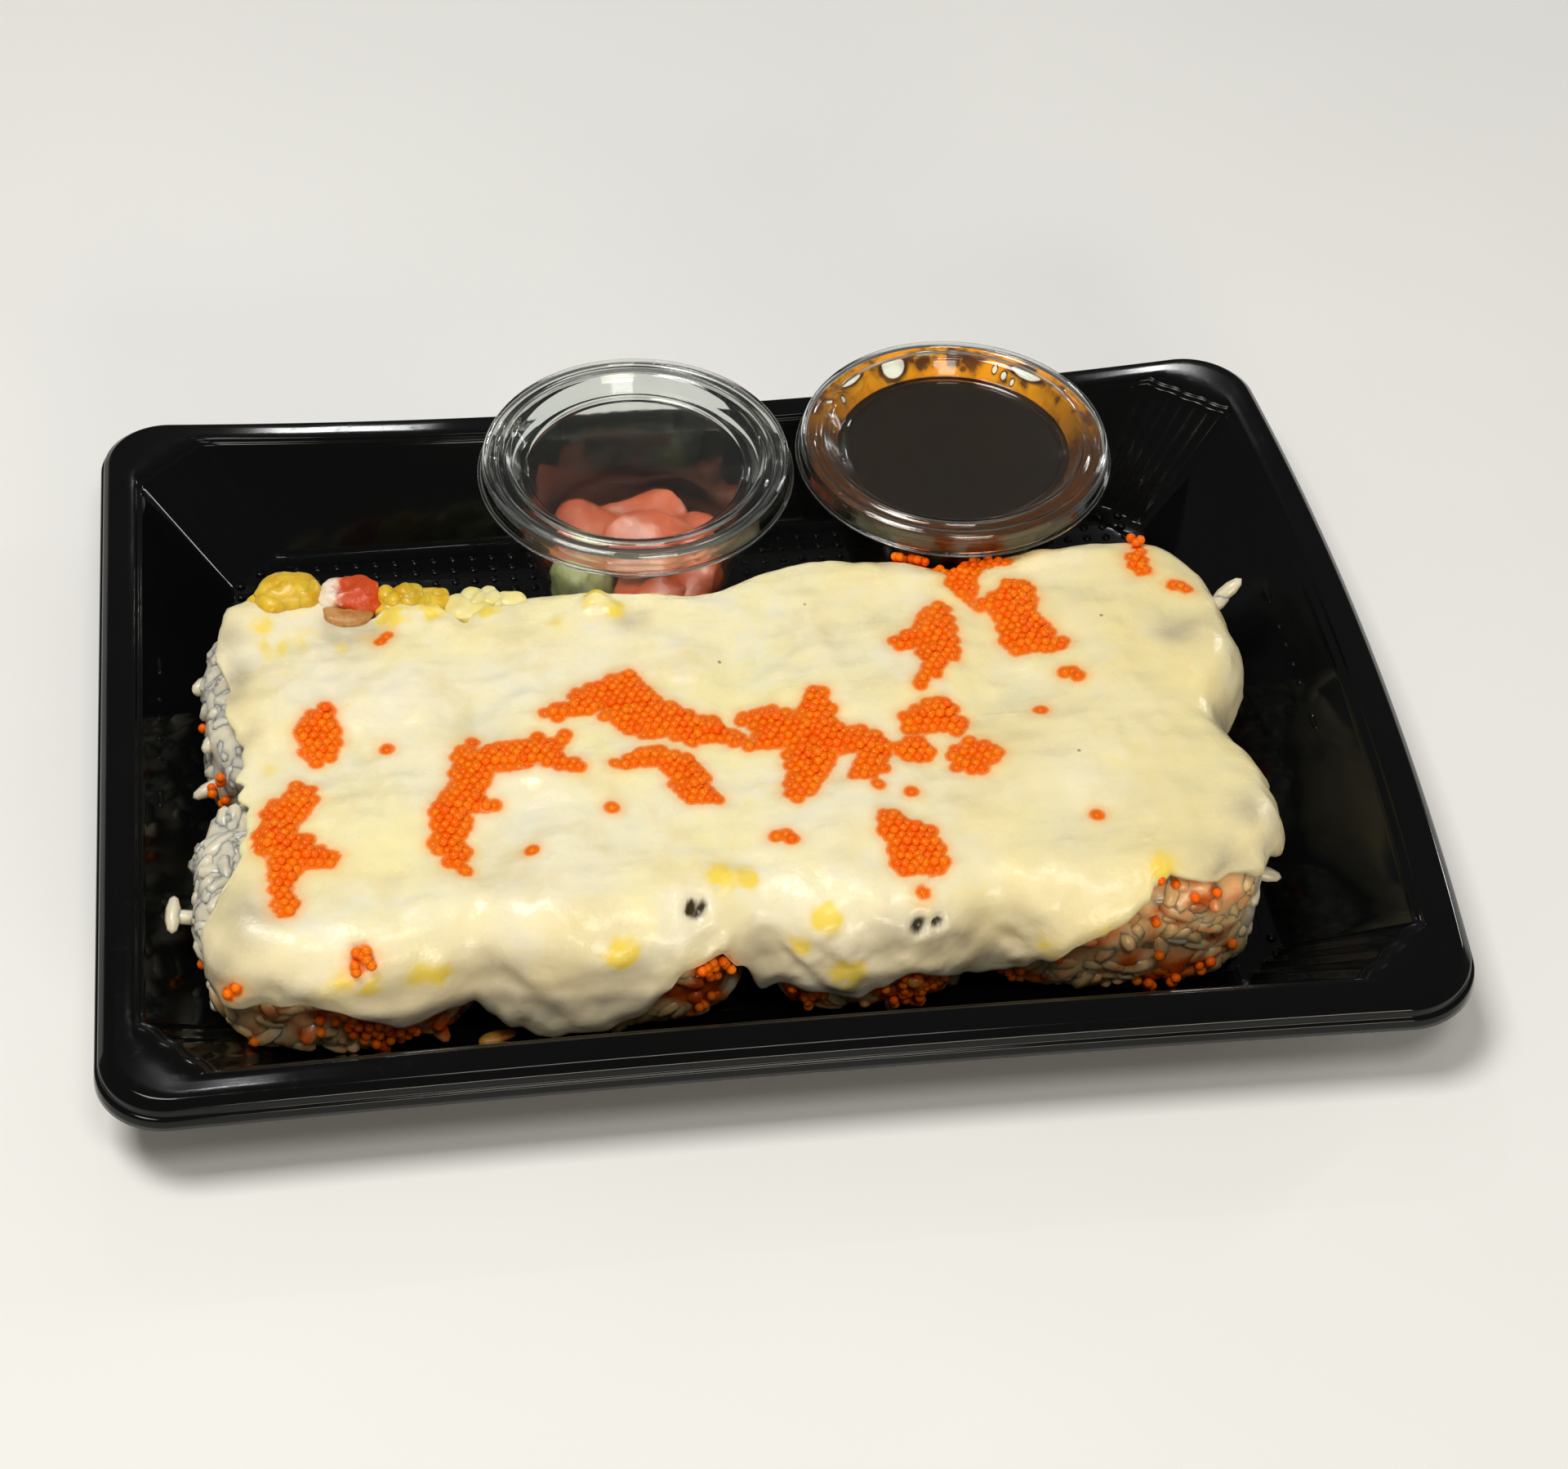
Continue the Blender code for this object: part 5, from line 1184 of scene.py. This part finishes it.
YOLK = [
    # Egg that shows through the sheet or lies in it: middle, size, and how far it stands up.
    ((-7.4, -45.2, 24.0), 2.4, 0.6), ((-4.4, -44.8, 24.0), 2.2, 0.6), ((-21.3, -53.2, 19.9), 2.6, 0.4),
    ((-47.6, -52.4, 18.3), 2.2, 0.2), ((-45.2, -52.0, 17.3), 2.2, 0.2), ((5.5, -51.6, 21.2), 2.4, 0.5),
    ((8.6, -53.2, 12.5), 2.8, 0.4), ((-65.7, -19.3, 24.0), 1.8, 0.0), ((-24.3, 4.8, 24.4), 2.2, 0.0),
    ((-57.6, -53.0, 18.6), 2.2, 0.3), ((-54.4, -53.4, 18.0), 2.2, 0.3), ((-60.0, -52.6, 18.0), 1.8, 0.2),
    ((50.4, -49.2, 21.5), 2.4, 0.3), ((-60.3, 6.4, 24.0), 3.4, 0.0), ((-64.4, 4.6, 24.2), 3.0, 0.1),
    ((-18.4, 10.2, 24.4), 2.2, 1.0), ((-16.4, 6.8, 24.9), 2.0, 0.8), ((-19.4, 7.4, 24.6), 1.4, 0.6),
    ((-66.0, 9.0, 24.0), 2.6, 0.1), ((-55.0, 3.6, 24.0), 2.4, 0.0), ((-51.0, 5.6, 24.0), 2.0, 0.0),
    ((-33.8, 9.0, 23.8), 2.0, 0.5), ((-42.0, 9.8, 23.8), 2.4, 0.5), ((-47.0, 9.2, 23.6), 2.6, 0.5),
    ((2.0, -52.5, 17.0), 1.8, 0.4), ((36.0, -51.5, 14.5), 2.6, 0.2), ((43.0, -52.6, 18.0), 2.6, 0.1),
]
THIN = [
    # Places where the sheet is so thin that it turns grey.
    ((62.5, -5.7, 24.4), 3.4), ((63.3, -40.5, 24.0), 2.6), ((-55.0, 7.4, 23.7), 3.4),
    ((-50.5, 7.8, 23.6), 2.4), ((-72.0, -2.0, 22.0), 4.5), ((14.0, -53.4, 19.0), 3.0),
    ((-71.0, -14.0, 22.0), 3.0), ((24.0, -52.0, 15.0), 3.0), ((68.0, -20.0, 20.0), 3.0),
    ((-14.0, 5.0, 24.0), 2.6), ((20.0, -53.0, 16.0), 3.0), ((60.0, -50.0, 19.0), 5.0),
    ((-73.0, -47.5, 17.0), 6.5), ((-68.0, -51.0, 15.0), 6.0), ((-70.0, -45.0, 22.0), 5.0),
    ((-71.0, 8.0, 22.0), 3.4), ((-2.0, -50.0, 14.0), 3.0), ((66.0, -45.0, 18.0), 4.0),
    ((-62.0, -53.0, 13.0), 3.0),
]
BUMPY = [
    # Places where the rice shapes the thin sheet.
    ((-72.0, -48.5, 16.0), 7.5), ((-66.0, -52.0, 14.0), 5.5), ((4.0, -52.5, 15.0), 9.0),
    ((20.0, -52.5, 15.0), 7.0), ((61.0, -49.0, 18.0), 6.5), ((-56.0, -53.0, 14.0), 5.0),
    ((-10.0, -51.0, 17.0), 5.0), ((68.0, -30.0, 15.0), 7.0), ((-70.0, 8.0, 22.0), 6.0),
    ((-40.0, 11.0, 22.0), 6.0), ((68.0, -8.0, 14.0), 7.0), ((30.0, -50.0, 12.0), 4.0),
]


def patch_depth(plan):
    """How deep a plan point lies inside the nearest patch of roe, below zero outside it."""
    depth = np.full(plan.shape[:-1], -99.0)
    for chain in ROE_PATCHES:
        for start, end in zip(np.array(chain), np.array(chain)[1:]):
            run = end[:2] - start[:2]
            share = np.clip(((plan - start[:2]) @ run) / (run @ run), 0, 1)
            gap = np.linalg.norm(plan - start[:2] - share[..., None] * run, axis=-1)
            depth = np.maximum(depth, start[2] + (end[2] - start[2]) * share - gap)
    return depth + 0.3 * plane_noise(plan[..., 0], plan[..., 1], 17, 3.2)


def sheet_point(travel, offset):
    """Points of the sheet at a way outwards from where it bends, and an offset out of its face."""
    bend = np.clip(travel / SHEET_ROUND, 0, TAU / 4)
    hang = np.maximum(0.0, travel - SHEET_ROUND * TAU / 4)
    inset = SHEET_ROUND - (SHEET_ROUND + offset) * np.sin(bend) + np.maximum(0.0, -travel)
    plan = origin + heading * (reach - inset)[..., None]
    x, y = plan[..., 0], plan[..., 1]
    front = y < BLOCK_MIDDLE
    relief = -0.5 * VALLEY_DEPTH * np.exp(-(((y - BLOCK_MIDDLE) / VALLEY_WIDTH) ** 2))
    for name, (_, edge, _, _, _) in ROLLS.items():
        if not name.endswith("_4"):
            in_row = front if "front" in name else ~front
            relief = relief - in_row * VALLEY_DEPTH * np.exp(-(((x - edge) / VALLEY_WIDTH) ** 2))
    relief = relief * np.clip(1 - np.maximum(0.0, travel) / SHEET_ROUND, 0, 1)
    height = SHEET_UNDERSIDE - SHEET_ROUND + (SHEET_ROUND + offset) * np.cos(bend) - hang + relief
    return np.concatenate([plan, height[..., None]], axis=-1)


def sheet_travels(over, around, down, least_step):
    """The way along each column: over the top, round the bend and down, always at least a step apart."""
    quarter = SHEET_ROUND * TAU / 4
    ways = [-(reach - SHEET_ROUND) * (1 - share) for share in np.linspace(0, 1, over)]
    ways += [quarter * share + 0 * reach for share in np.linspace(0, 1, around)[1:]]
    ways += [quarter + share * np.maximum(drop - quarter, 0) for share in np.linspace(0, 1, down)[1:]]
    steps = np.arange(len(ways))[::-1, None] * least_step
    return np.minimum(np.array(ways), drop - steps)


def on_sheet(entries, base):
    """The same entries with each middle moved to the nearest point of the sheet."""
    flat = base.reshape(-1, 3)
    index, _ = nearest(np.array([entry[0] for entry in entries]), flat)
    return [(tuple(flat[row]), *entry[1:]) for row, entry in zip(index, entries)]


def sheet_thickness(base):
    """Broad lumps as in the CAD sheet, finer ones, swollen roe patches, holes with rims, and raised egg."""
    broad = SHEET_THICKNESS * (1 + 0.35 * plane_noise(base[..., 0], base[..., 1], 5, 22.0))
    fine = 0.30 * space_noise(base, 51, 9.0) + 0.15 * space_noise(base, 57, 4.5)
    fine = fine + 0.04 * space_noise(base, 61, 2.2)
    grain_shapes = 0.34 * space_noise(base, 65, 4.4) + 0.12 * space_noise(base, 69, 2.2)
    fine = fine + bells(base, BUMPY) * grain_shapes
    swollen = np.clip(patch_depth(base[..., :2]) / PATCH_SHOULDER, 0, 1)
    heap = PATCH_SWELLS * swollen * (base[..., 2] > SHEET_TOP_ABOVE)
    pit = bells(base, HOLES)
    rim = bells(base, [(place, size * 2.0) for place, size in HOLES])
    egg = np.sum([height * bells(base, [(place, size)]) for place, size, height in YOLK], axis=0)
    egg = egg * (1 + 0.35 * space_noise(base, 77, 2.4))
    return np.maximum(broad + fine + heap - PIT_DEPTH * pit + RIM_HEIGHT * rim + egg, SHEET_THINNEST)


# %% [markdown]
# Where the sheet hangs far down, a thick bead runs along its edge, as in any melt that has stopped, and
# where it is thin the edge fades out. The holes, the egg and the thin and bumpy places were listed one by
# one, so each is first moved to the nearest point of the sheet.

# %% The cheese's surface
LIP_STEPS = 9
BEAD_HEIGHT, BEAD_ABOVE_EDGE, BEAD_WIDTH = 0.9, 1.5, 3.2
THIN_EDGE, THIN_EDGE_WIDTH, EDGE_THINNEST = 0.8, 3.0, 0.4
upper_ways = sheet_travels(over=58, around=13, down=18, least_step=0.05)
base = sheet_point(upper_ways, 0 * upper_ways + SHEET_THICKNESS)
HOLES, YOLK, THIN, BUMPY = (on_sheet(entries, base) for entries in (HOLES, YOLK, THIN, BUMPY))
thickness = sheet_thickness(base)
hanging = np.clip((drop - 5.0) / 8.0, 0, 1)
to_edge = drop - upper_ways
bead = BEAD_HEIGHT * hanging * np.exp(-((to_edge - BEAD_ABOVE_EDGE) / BEAD_WIDTH) ** 2)
bead = bead - THIN_EDGE * bells(base, THIN) * np.exp(-(to_edge / THIN_EDGE_WIDTH) ** 2)
thickness = np.maximum(thickness + bead, EDGE_THINNEST)
upper_sheet = sheet_point(upper_ways, thickness)
half_turn = np.linspace(0, TAU / 2, LIP_STEPS + 2)[1:-1, None]
edge_thickness = thickness[-1]
lip_ways = drop + 0.6 * edge_thickness * np.sin(half_turn)
lip = sheet_point(lip_ways, edge_thickness * (0.5 + 0.5 * np.cos(half_turn)))
lower_ways = sheet_travels(over=10, around=6, down=7, least_step=0.15)[::-1]
lower_sheet = sheet_point(lower_ways, 0 * lower_ways)
sheet_grid = np.concatenate([upper_sheet, lip, lower_sheet])
shown_sheet = sheet_grid[: len(upper_sheet) + LIP_STEPS // 2]
sheet_normals = facing(shown_sheet)
sheet_places, sheet_faces_out = shown_sheet.reshape(-1, 3), sheet_normals.reshape(-1, 3)
print("Cheese from", sheet_places.min(axis=0).round(1), "to", sheet_places.max(axis=0).round(1))

# %% [markdown]
# Roe is packed as tightly as marbles in a dish. A honeycomb of points fills each patch, shifted a little by
# seeded draws, and in the middle of the larger patches a second layer sits in the gaps of the first. The
# same grains also cling to the rice where it shows, and to the sheet where it hangs at the front left
# corner. Of two grains that come too close, one is left out.

# %% Roe on the sheet
ROE_RADIUS, ROE_PITCH = 0.72, 1.24
ROW_SHARE = 0.866
FIRST_LIFT, FIRST_HEAPED, SECOND_LIFT, SINGLE_LIFT = -0.5, 0.4, 0.26, -0.4
COMB_LEFT, COMB_FRONT, COMB_LENGTH, COMB_WIDTH = -75, -58, 150, 80
roe_draws = np.random.default_rng(17)
row_count, column_count = int(COMB_WIDTH / (ROE_PITCH * ROW_SHARE)), int(COMB_LENGTH / ROE_PITCH)
comb_row, comb_column = np.mgrid[0:row_count, 0:column_count]
comb = np.stack([
    COMB_LEFT + ROE_PITCH * (comb_column + 0.5 * (comb_row % 2)),
    COMB_FRONT + ROE_PITCH * ROW_SHARE * comb_row,
], axis=-1).reshape(-1, 2)
comb = comb + roe_draws.uniform(-0.16, 0.16, comb.shape)
depth = patch_depth(comb)
first_layer = comb[depth > 0.25]
in_second = (depth > 1.4) & (roe_draws.random(len(comb)) < 0.5)
second_layer = (comb + (ROE_PITCH / 2, ROE_PITCH * 0.29))[in_second]
top_targets = np.vstack([first_layer, second_layer, np.array(SINGLE_ROE)])
heaped = FIRST_HEAPED * np.clip(patch_depth(first_layer) / PATCH_SHOULDER, 0, 1)
lifts = np.concatenate([
    FIRST_LIFT + heaped + roe_draws.uniform(-0.14, 0.2, len(first_layer)),
    SECOND_LIFT + roe_draws.uniform(-0.14, 0.14, len(second_layer)),
    np.full(len(SINGLE_ROE), SINGLE_LIFT),
])
index, _ = nearest(top_targets, sheet_places[:, :2])
top_targets = np.column_stack([top_targets, sheet_places[index, 2]])
roe_on_top, roe_up = settled(top_targets, sheet_places, sheet_faces_out, lifts)
print(len(first_layer), "grains of roe in the first layer and", len(second_layer), "in the second")

# %% Roe on the sides
SIDE_ROE = [
    # Middle of a small cluster, its reach, and how many grains it has.
    ((-71.2, -49.4, 15.2), 1.7, 9), ((-72.6, -48.0, 12.8), 0.6, 2), ((-72.5, -48.2, 10.8), 0.6, 2),
    ((-69.5, -48.5, 4.5), 0.9, 4), ((-60.2, -51.6, 8.6), 1.8, 12), ((-57.0, -51.6, 8.5), 2.2, 20),
    ((-54.5, -51.6, 6.4), 2.8, 34), ((-50.5, -51.0, 5.0), 2.4, 20), ((-55.2, -52.8, 22.2), 1.9, 24),
    ((-10.2, -51.8, 14.8), 1.6, 12), ((-8.2, -51.4, 12.5), 2.0, 14), ((-9.5, -51.0, 6.5), 2.0, 8),
    ((13.6, -51.4, 8.0), 1.8, 14), ((17.2, -50.8, 8.0), 2.4, 30), ((20.6, -50.0, 7.0), 2.0, 18),
    ((17.5, -50.0, 3.8), 2.6, 18), ((5.0, -50.8, 5.0), 2.0, 8), ((0.6, -51.0, 6.0), 1.4, 4),
    ((37.3, -50.0, 9.6), 1.3, 8), ((32.0, -48.0, 4.5), 1.8, 10), ((52.0, -49.2, 20.6), 0.5, 1),
    ((54.8, -50.0, 19.0), 1.0, 5), ((57.2, -49.8, 18.6), 0.8, 3), ((49.7, -51.0, 16.2), 0.7, 2),
    ((51.2, -51.0, 8.7), 0.5, 1), ((50.0, -50.5, 2.6), 1.6, 6), ((54.0, -50.0, 2.8), 1.6, 7),
    ((58.0, -49.4, 4.4), 1.6, 7), ((61.5, -47.5, 7.5), 1.0, 3), ((-72.0, -13.5, 17.0), 0.9, 3),
    ((-75.0, -12.5, 14.0), 1.2, 6), ((-72.5, -14.0, 12.5), 1.0, 3), ((-76.4, -40.5, 9.0), 0.8, 2),
    ((-75.2, 1.0, 13.0), 0.9, 3), ((-74.2, 9.0, 14.0), 0.9, 3), ((-73.2, 12.5, 15.0), 0.8, 2),
    ((27.0, 16.2, 21.0), 1.6, 9), ((29.5, 15.8, 22.5), 1.4, 5), ((36.5, 15.5, 22.8), 2.2, 10),
    ((60.5, 13.2, 22.5), 1.6, 7), ((8.0, 15.5, 12.0), 2.0, 7), ((45.0, 15.8, 10.0), 1.8, 6),
    ((-30.0, 12.8, 11.0), 2.0, 7), ((-56.0, 18.4, 12.0), 2.2, 8), ((69.5, -8.0, 7.0), 1.4, 5),
    ((66.8, -30.0, 6.0), 1.4, 5),
]
ROE_APART = 0.8
SIDE_LIFT, CORNER_LIFT = 0.55 + CORE_SHRINK * 0.6, 0.1
all_places = np.vstack([sheet_places] + [places for places, _ in roll_skins.values()])
all_facing = np.vstack([sheet_faces_out] + [normals for _, normals in roll_skins.values()])
side_targets = []
for middle, cluster, count in SIDE_ROE:
    away = unit(roe_draws.normal(size=(count, 3))) * cluster * roe_draws.random((count, 1)) ** 0.4
    side_targets.append(np.array(middle) + away)
side_targets = np.vstack(side_targets)
above_sheet = (side_targets[:, 0] < -69) & (side_targets[:, 1] < -45) & (side_targets[:, 2] > 8)
roe_on_sides, side_up = settled(side_targets, all_places, all_facing, SIDE_LIFT)
on_corner = settled(side_targets[above_sheet], sheet_places, sheet_faces_out, CORNER_LIFT)
roe_on_sides[above_sheet], side_up[above_sheet] = on_corner
roe_at = np.vstack([roe_on_top, roe_on_sides])
roe_up = np.vstack([roe_up, side_up])
close = np.linalg.norm(roe_at[:, None] - roe_at[None], axis=-1) < ROE_APART
roe_kept = ~np.triu(close, 1).any(axis=0)
roe_at, roe_up = roe_at[roe_kept], roe_up[roe_kept]
roe_sizes = ROE_RADIUS * roe_draws.uniform(0.93, 1.06, len(roe_at))
roe_swirl = roe_draws.normal(size=roe_at.shape)
roe_axes = half_axes(roe_swirl, roe_up, roe_sizes, roe_sizes, roe_sizes)
roe_shell = scattered(roe_at, roe_axes, rings=6, sides=9)
roe_tint = np.repeat(roe_draws.random(len(roe_at)), len(roe_shell[0]) // len(roe_at))

roe = Finish("roe")
roe_finish = roe.done(roe.principled(
    Base_Color=roe.blend(roe.mark("tint"), tone(255, 128, 4), tone(252, 100, 0)),
    Roughness=0.16 + 0.08 * roe.noise(0.8),
    **soaked(0.35, 0.8, 0.5, 0.05),
    Specular_IOR_Level=0.35,
    IOR=1.38,
))
put("roe_grains", roe_shell, roe_finish, marks={"tint": roe_tint})
print("   with", len(roe_at), "grains")

# %% [markdown]
# The cheese takes several stored values: how near the roe is, because its oil glows orange in the melt
# round it; where egg lies under it; where it is thin and grey; where the holes and their foamy rims are, the
# dark in a hole being painted shade; how far down it hangs; and how oily it is, more so towards the right,
# where its darker, yellower tone is partly painted shade as the light falls off. Colours from the photo are
# blended by these values. The melt lets light in, so the shader scatters it below the surface. A hole's
# values are read at the sheet as it was before the hole was sunk into it, so that they reach its bottom.

# %% Finish: melted cheese
GLOW_REACH = 1.15
LOW_BELOW, LOW_RUN = 23.5, 12.0
# Where the oily tone sets in towards the right and how far it grows; it also paints the shade there.
OILY_AND_SHADE_FROM, OILY_AND_SHADE_RUN = 5.0, 55.0
_, from_roe = nearest(sheet_grid[: len(upper_sheet)].reshape(-1, 3), roe_at)
glow = np.exp(-((np.maximum(from_roe - ROE_RADIUS, 0) / GLOW_REACH) ** 2))
glow = np.concatenate([glow, np.zeros((len(sheet_grid) - len(upper_sheet)) * sheet_grid.shape[1])])
flat_points = sheet_grid.reshape(-1, 3)
yolk_share = np.max([
    (0.4 + 0.6 * min(height / 0.4, 1.0)) * bells(flat_points, [(place, size * 0.9)])
    for place, size, height in YOLK
], axis=0)
yolk_share = yolk_share * (1 + 0.5 * space_noise(flat_points, 83, 2.2))
thin_share = bells(flat_points, THIN) * (1 + 0.4 * space_noise(flat_points, 87, 5.0))
undented = np.concatenate([base.reshape(-1, 3), flat_points[base.size // 3 :]])
# The dark in each hole is painted shade, standing for the shadow inside a real hole.
hole_shade_share = bells(undented, [(place, size * 1.1) for place, size in HOLES])
hole_shade_share = hole_shade_share * (1 + 0.5 * space_noise(undented, 95, 1.6))
foam_share = bells(undented, [(place, size * 2.1) for place, size in HOLES])
low_share = np.clip((LOW_BELOW - flat_points[:, 2]) / LOW_RUN, 0, 1)
# Oily tone towards the right, partly real oil and partly painted shade where the light falls off.
oily_and_shade_share = np.clip((flat_points[:, 0] - OILY_AND_SHADE_FROM) / OILY_AND_SHADE_RUN, 0, 1)
oily_and_shade_share = oily_and_shade_share * (1 + 0.5 * space_noise(flat_points, 93, 16.0))
cheese_marks = {
    "glow": glow, "yolk": yolk_share, "thin": thin_share, "pit": hole_shade_share,
    "foam": foam_share, "low": low_share, "oily_and_shade": oily_and_shade_share,
}
cheese_marks = {name: np.clip(values, 0, 1) for name, values in cheese_marks.items()}

cheese = Finish("melted_cheese")
broad = cheese.noise(22.0, 2.0)
milky = cheese.noise(7.0, 3.0)
mottle = cheese.noise(2.4, 3.0, 0.6)
cells = cheese.add("ShaderNodeTexVoronoi", {}, {"Vector": cheese.place, "Scale": 1.0 / (9.0 * MM)})
fleck = 1 - cheese.ease(cells, 0.02, 0.04)
chosen = cheese.ease(cheese.noise(11.0, 0.0), 0.55, 0.6)
cheese_finish = cheese.done(cheese.principled(
    Base_Color=cheese.layered(
        tone(252, 237, 184),
        (cheese.ease(broad, 0.35, 0.65), tone(248, 238, 206)),
        (cheese.ease(milky, 0.48, 0.7) * 0.7, tone(244, 238, 216)),
        (cheese.ease(cheese.noise(9.0, 3.0), 0.5, 0.7) * 0.55, tone(230, 218, 166)),
        (cheese.mark("low") * 0.7, tone(238, 222, 192)),
        # Oily, darker and yellower to the right: partly real oil, partly painted shade.
        (cheese.mark("oily_and_shade") * 0.7, tone(240, 224, 164)),
        (cheese.mark("thin") * (0.55 + 0.6 * mottle), tone(194, 184, 154)),
        (cheese.mark("foam") * 0.6, tone(214, 210, 196)),
        (cheese.ease(cheese.mark("yolk"), 0.08, 0.75) * 0.9, tone(250, 218, 78)),
        (cheese.mark("glow") * 0.6, tone(250, 172, 80)),
        (cheese.ease(cheese.mark("glow"), 0.7, 0.98), tone(255, 118, 4)),
        # Painted shade in the holes.
        (cheese.ease(cheese.mark("pit"), 0.2, 0.7), tone(62, 50, 24)),
        (fleck * chosen * 0.7, tone(96, 84, 60)),
    ),
    Roughness=0.17 + 0.2 * milky,
    **soaked(0.5, 1.6, 1.3, 0.9),
    IOR=1.42,
    Normal=cheese.bump(0.55 * milky + 0.45 * mottle, 0.5, 0.65),
))
put("cheese_sheet", skin(sheet_grid), cheese_finish, ["cheese"], cheese_marks)

# %% [markdown]
# Toppings show at the back left corner, where the melt has drawn back: a chunk of egg, a piece of crab
# stick with a red side, crumbled egg, a few paler lumps of it and a bit of shrimp. Two browned bits of egg
# have dropped out at the front. A lump is a sphere that is stretched, squared a little and roughened by
# noise in space. Crumbled egg is many small lumps that lean on each other.

# %% Finishes: toppings
def food_finish(name, first, second, size, roughness, depth):
    """A moist, slightly translucent food with two mixed tones and a fine uneven surface."""
    food = Finish(name)
    mixed = food.noise(size, 4.0, 0.6)
    fine = food.noise(size / 3.0, 3.0, 0.6)
    return food.done(food.principled(
        Base_Color=food.blend(food.ease(mixed, 0.35, 0.68), first, second),
        Roughness=roughness + 0.15 * fine,
        **soaked(0.25, 1.0, 0.7, 0.3),
        Normal=food.bump(fine, depth, 0.6),
    ))


egg_finish = food_finish("egg", tone(214, 168, 20), tone(234, 198, 62), 3.4, 0.26, 0.12)
pale_egg_finish = food_finish("pale_egg", tone(240, 228, 170), tone(240, 220, 128), 4.0, 0.28, 0.12)
fried_finish = food_finish("fried_egg", tone(186, 104, 34), tone(222, 164, 70), 2.4, 0.3, 0.15)
shrimp_finish = food_finish("shrimp", tone(172, 118, 52), tone(198, 146, 88), 2.0, 0.32, 0.2)

RED_STARTS, RED_WHOLE = -54.5, -52.6
red_stick = Finish("crab_stick")
strip = red_stick.add("ShaderNodeSeparateXYZ", {}, {"Vector": red_stick.place})
thread = red_stick.noise(0.9, 4.0, 0.6)
red_from, red_to = ((x + SHIFT[0]) * MM for x in (RED_STARTS, RED_WHOLE))
red_share = red_stick.ease(strip + thread * (3.0 * MM), red_from, red_to)
crab_finish = red_stick.done(red_stick.principled(
    Base_Color=red_stick.blend(red_share, tone(240, 226, 206), tone(206, 72, 4)),
    Roughness=0.3 + 0.2 * thread,
    **soaked(0.25, 1.0, 0.5, 0.3),
    Normal=red_stick.bump(thread, 0.3, 0.6),
))


# %% Toppings
def lump(middle, halves, turn, seed, rough=0.12, square=0.8, rows=30, columns=44):
    """A sphere whose coordinates are raised to a power below one, stretched, roughened and turned."""
    grid = ball(rows, columns)
    grid = np.sign(grid) * np.abs(grid) ** square * np.array(halves)
    bumps = space_noise(grid, seed, 3.2) + 0.5 * space_noise(grid, seed + 9, 1.4)
    grid = grid * (1 + rough * bumps[..., None])
    return skin(spun(grid, turn, 0, 1) + np.array(middle))


def crumbs(middle, halves, turn, seed, count, sizes, rough=0.1):
    """Small lumps spread through a flat ellipsoid by seeded draws."""
    draws = np.random.default_rng(seed)
    spread = unit(draws.normal(size=(count, 3))) * draws.random((count, 1)) ** 0.45 * np.array(halves)
    spread[:, 2] = np.abs(spread[:, 2]) * 0.9
    spread = spun(spread, turn, 0, 1) + np.array(middle)
    pieces = []
    for number, place in enumerate(spread):
        size = draws.uniform(*sizes) * np.array([1.0, draws.uniform(0.7, 1.0), draws.uniform(0.6, 0.9)])
        pieces.append(lump(place, size, draws.uniform(0, 180), seed + number, rough, 0.85, 12, 18))
    return joined(*pieces)


chunk = joined(
    lump((-62.0, 15.2, 24.0), (4.6, 3.2, 2.9), 6.0, 71, 0.05),
    lump((-63.8, 13.8, 24.0), (3.0, 2.4, 1.9), 30.0, 72, 0.05, rows=20, columns=30),
    lump((-59.9, 14.8, 24.2), (2.6, 2.6, 2.2), -20.0, 73, 0.05, rows=20, columns=30),
    lump((-65.6, 14.4, 23.0), (2.4, 2.0, 1.7), 10.0, 74, 0.05, rows=20, columns=30),
)
put("egg_lump", chunk, egg_finish, ["egg_chunk"])
stick = lump((-53.2, 14.2, 23.6), (4.6, 3.2, 2.3), -8.0, 75, 0.13, 0.82)
put("crab_piece", stick, crab_finish, ["crab_stick"])
crumble = joined(
    lump((-44.6, 12.6, 22.8), (5.8, 2.5, 1.9), 3.0, 76, 0.08),
    crumbs((-44.6, 12.6, 23.2), (5.6, 1.6, 1.2), -3.0, 77, 16, (1.3, 2.1), 0.08),
)
put("egg_crumbs", crumble, egg_finish, ["egg_crumble"])
pale = joined(
    lump((-36.6, 10.8, 22.3), (3.8, 3.0, 2.2), 0.0, 176, 0.06),
    lump((-30.6, 11.6, 22.6), (2.6, 1.8, 1.6), 0.0, 178, 0.06),
    crumbs((-35.0, 12.2, 22.6), (3.8, 1.4, 1.0), -3.0, 177, 9, (1.3, 2.0), 0.06),
)
put("pale_egg", pale, pale_egg_finish)
shrimp = lump((-54.2, 10.6, 23.2), (3.6, 1.9, 1.1), -3.0, 78, 0.1)
put("shrimp_bit", shrimp, shrimp_finish, ["shrimp_piece"])
loose = joined(
    lump((-37.7, -49.7, 0.7), (2.6, 1.0, 0.6), 10.0, 79, 0.1, 0.9, 14, 20),
    lump((17.9, -52.4, 8.6), (1.1, 0.8, 0.9), 0.0, 83, 0.1, 0.9, 14, 20),
)
put("loose_egg", loose, fried_finish)
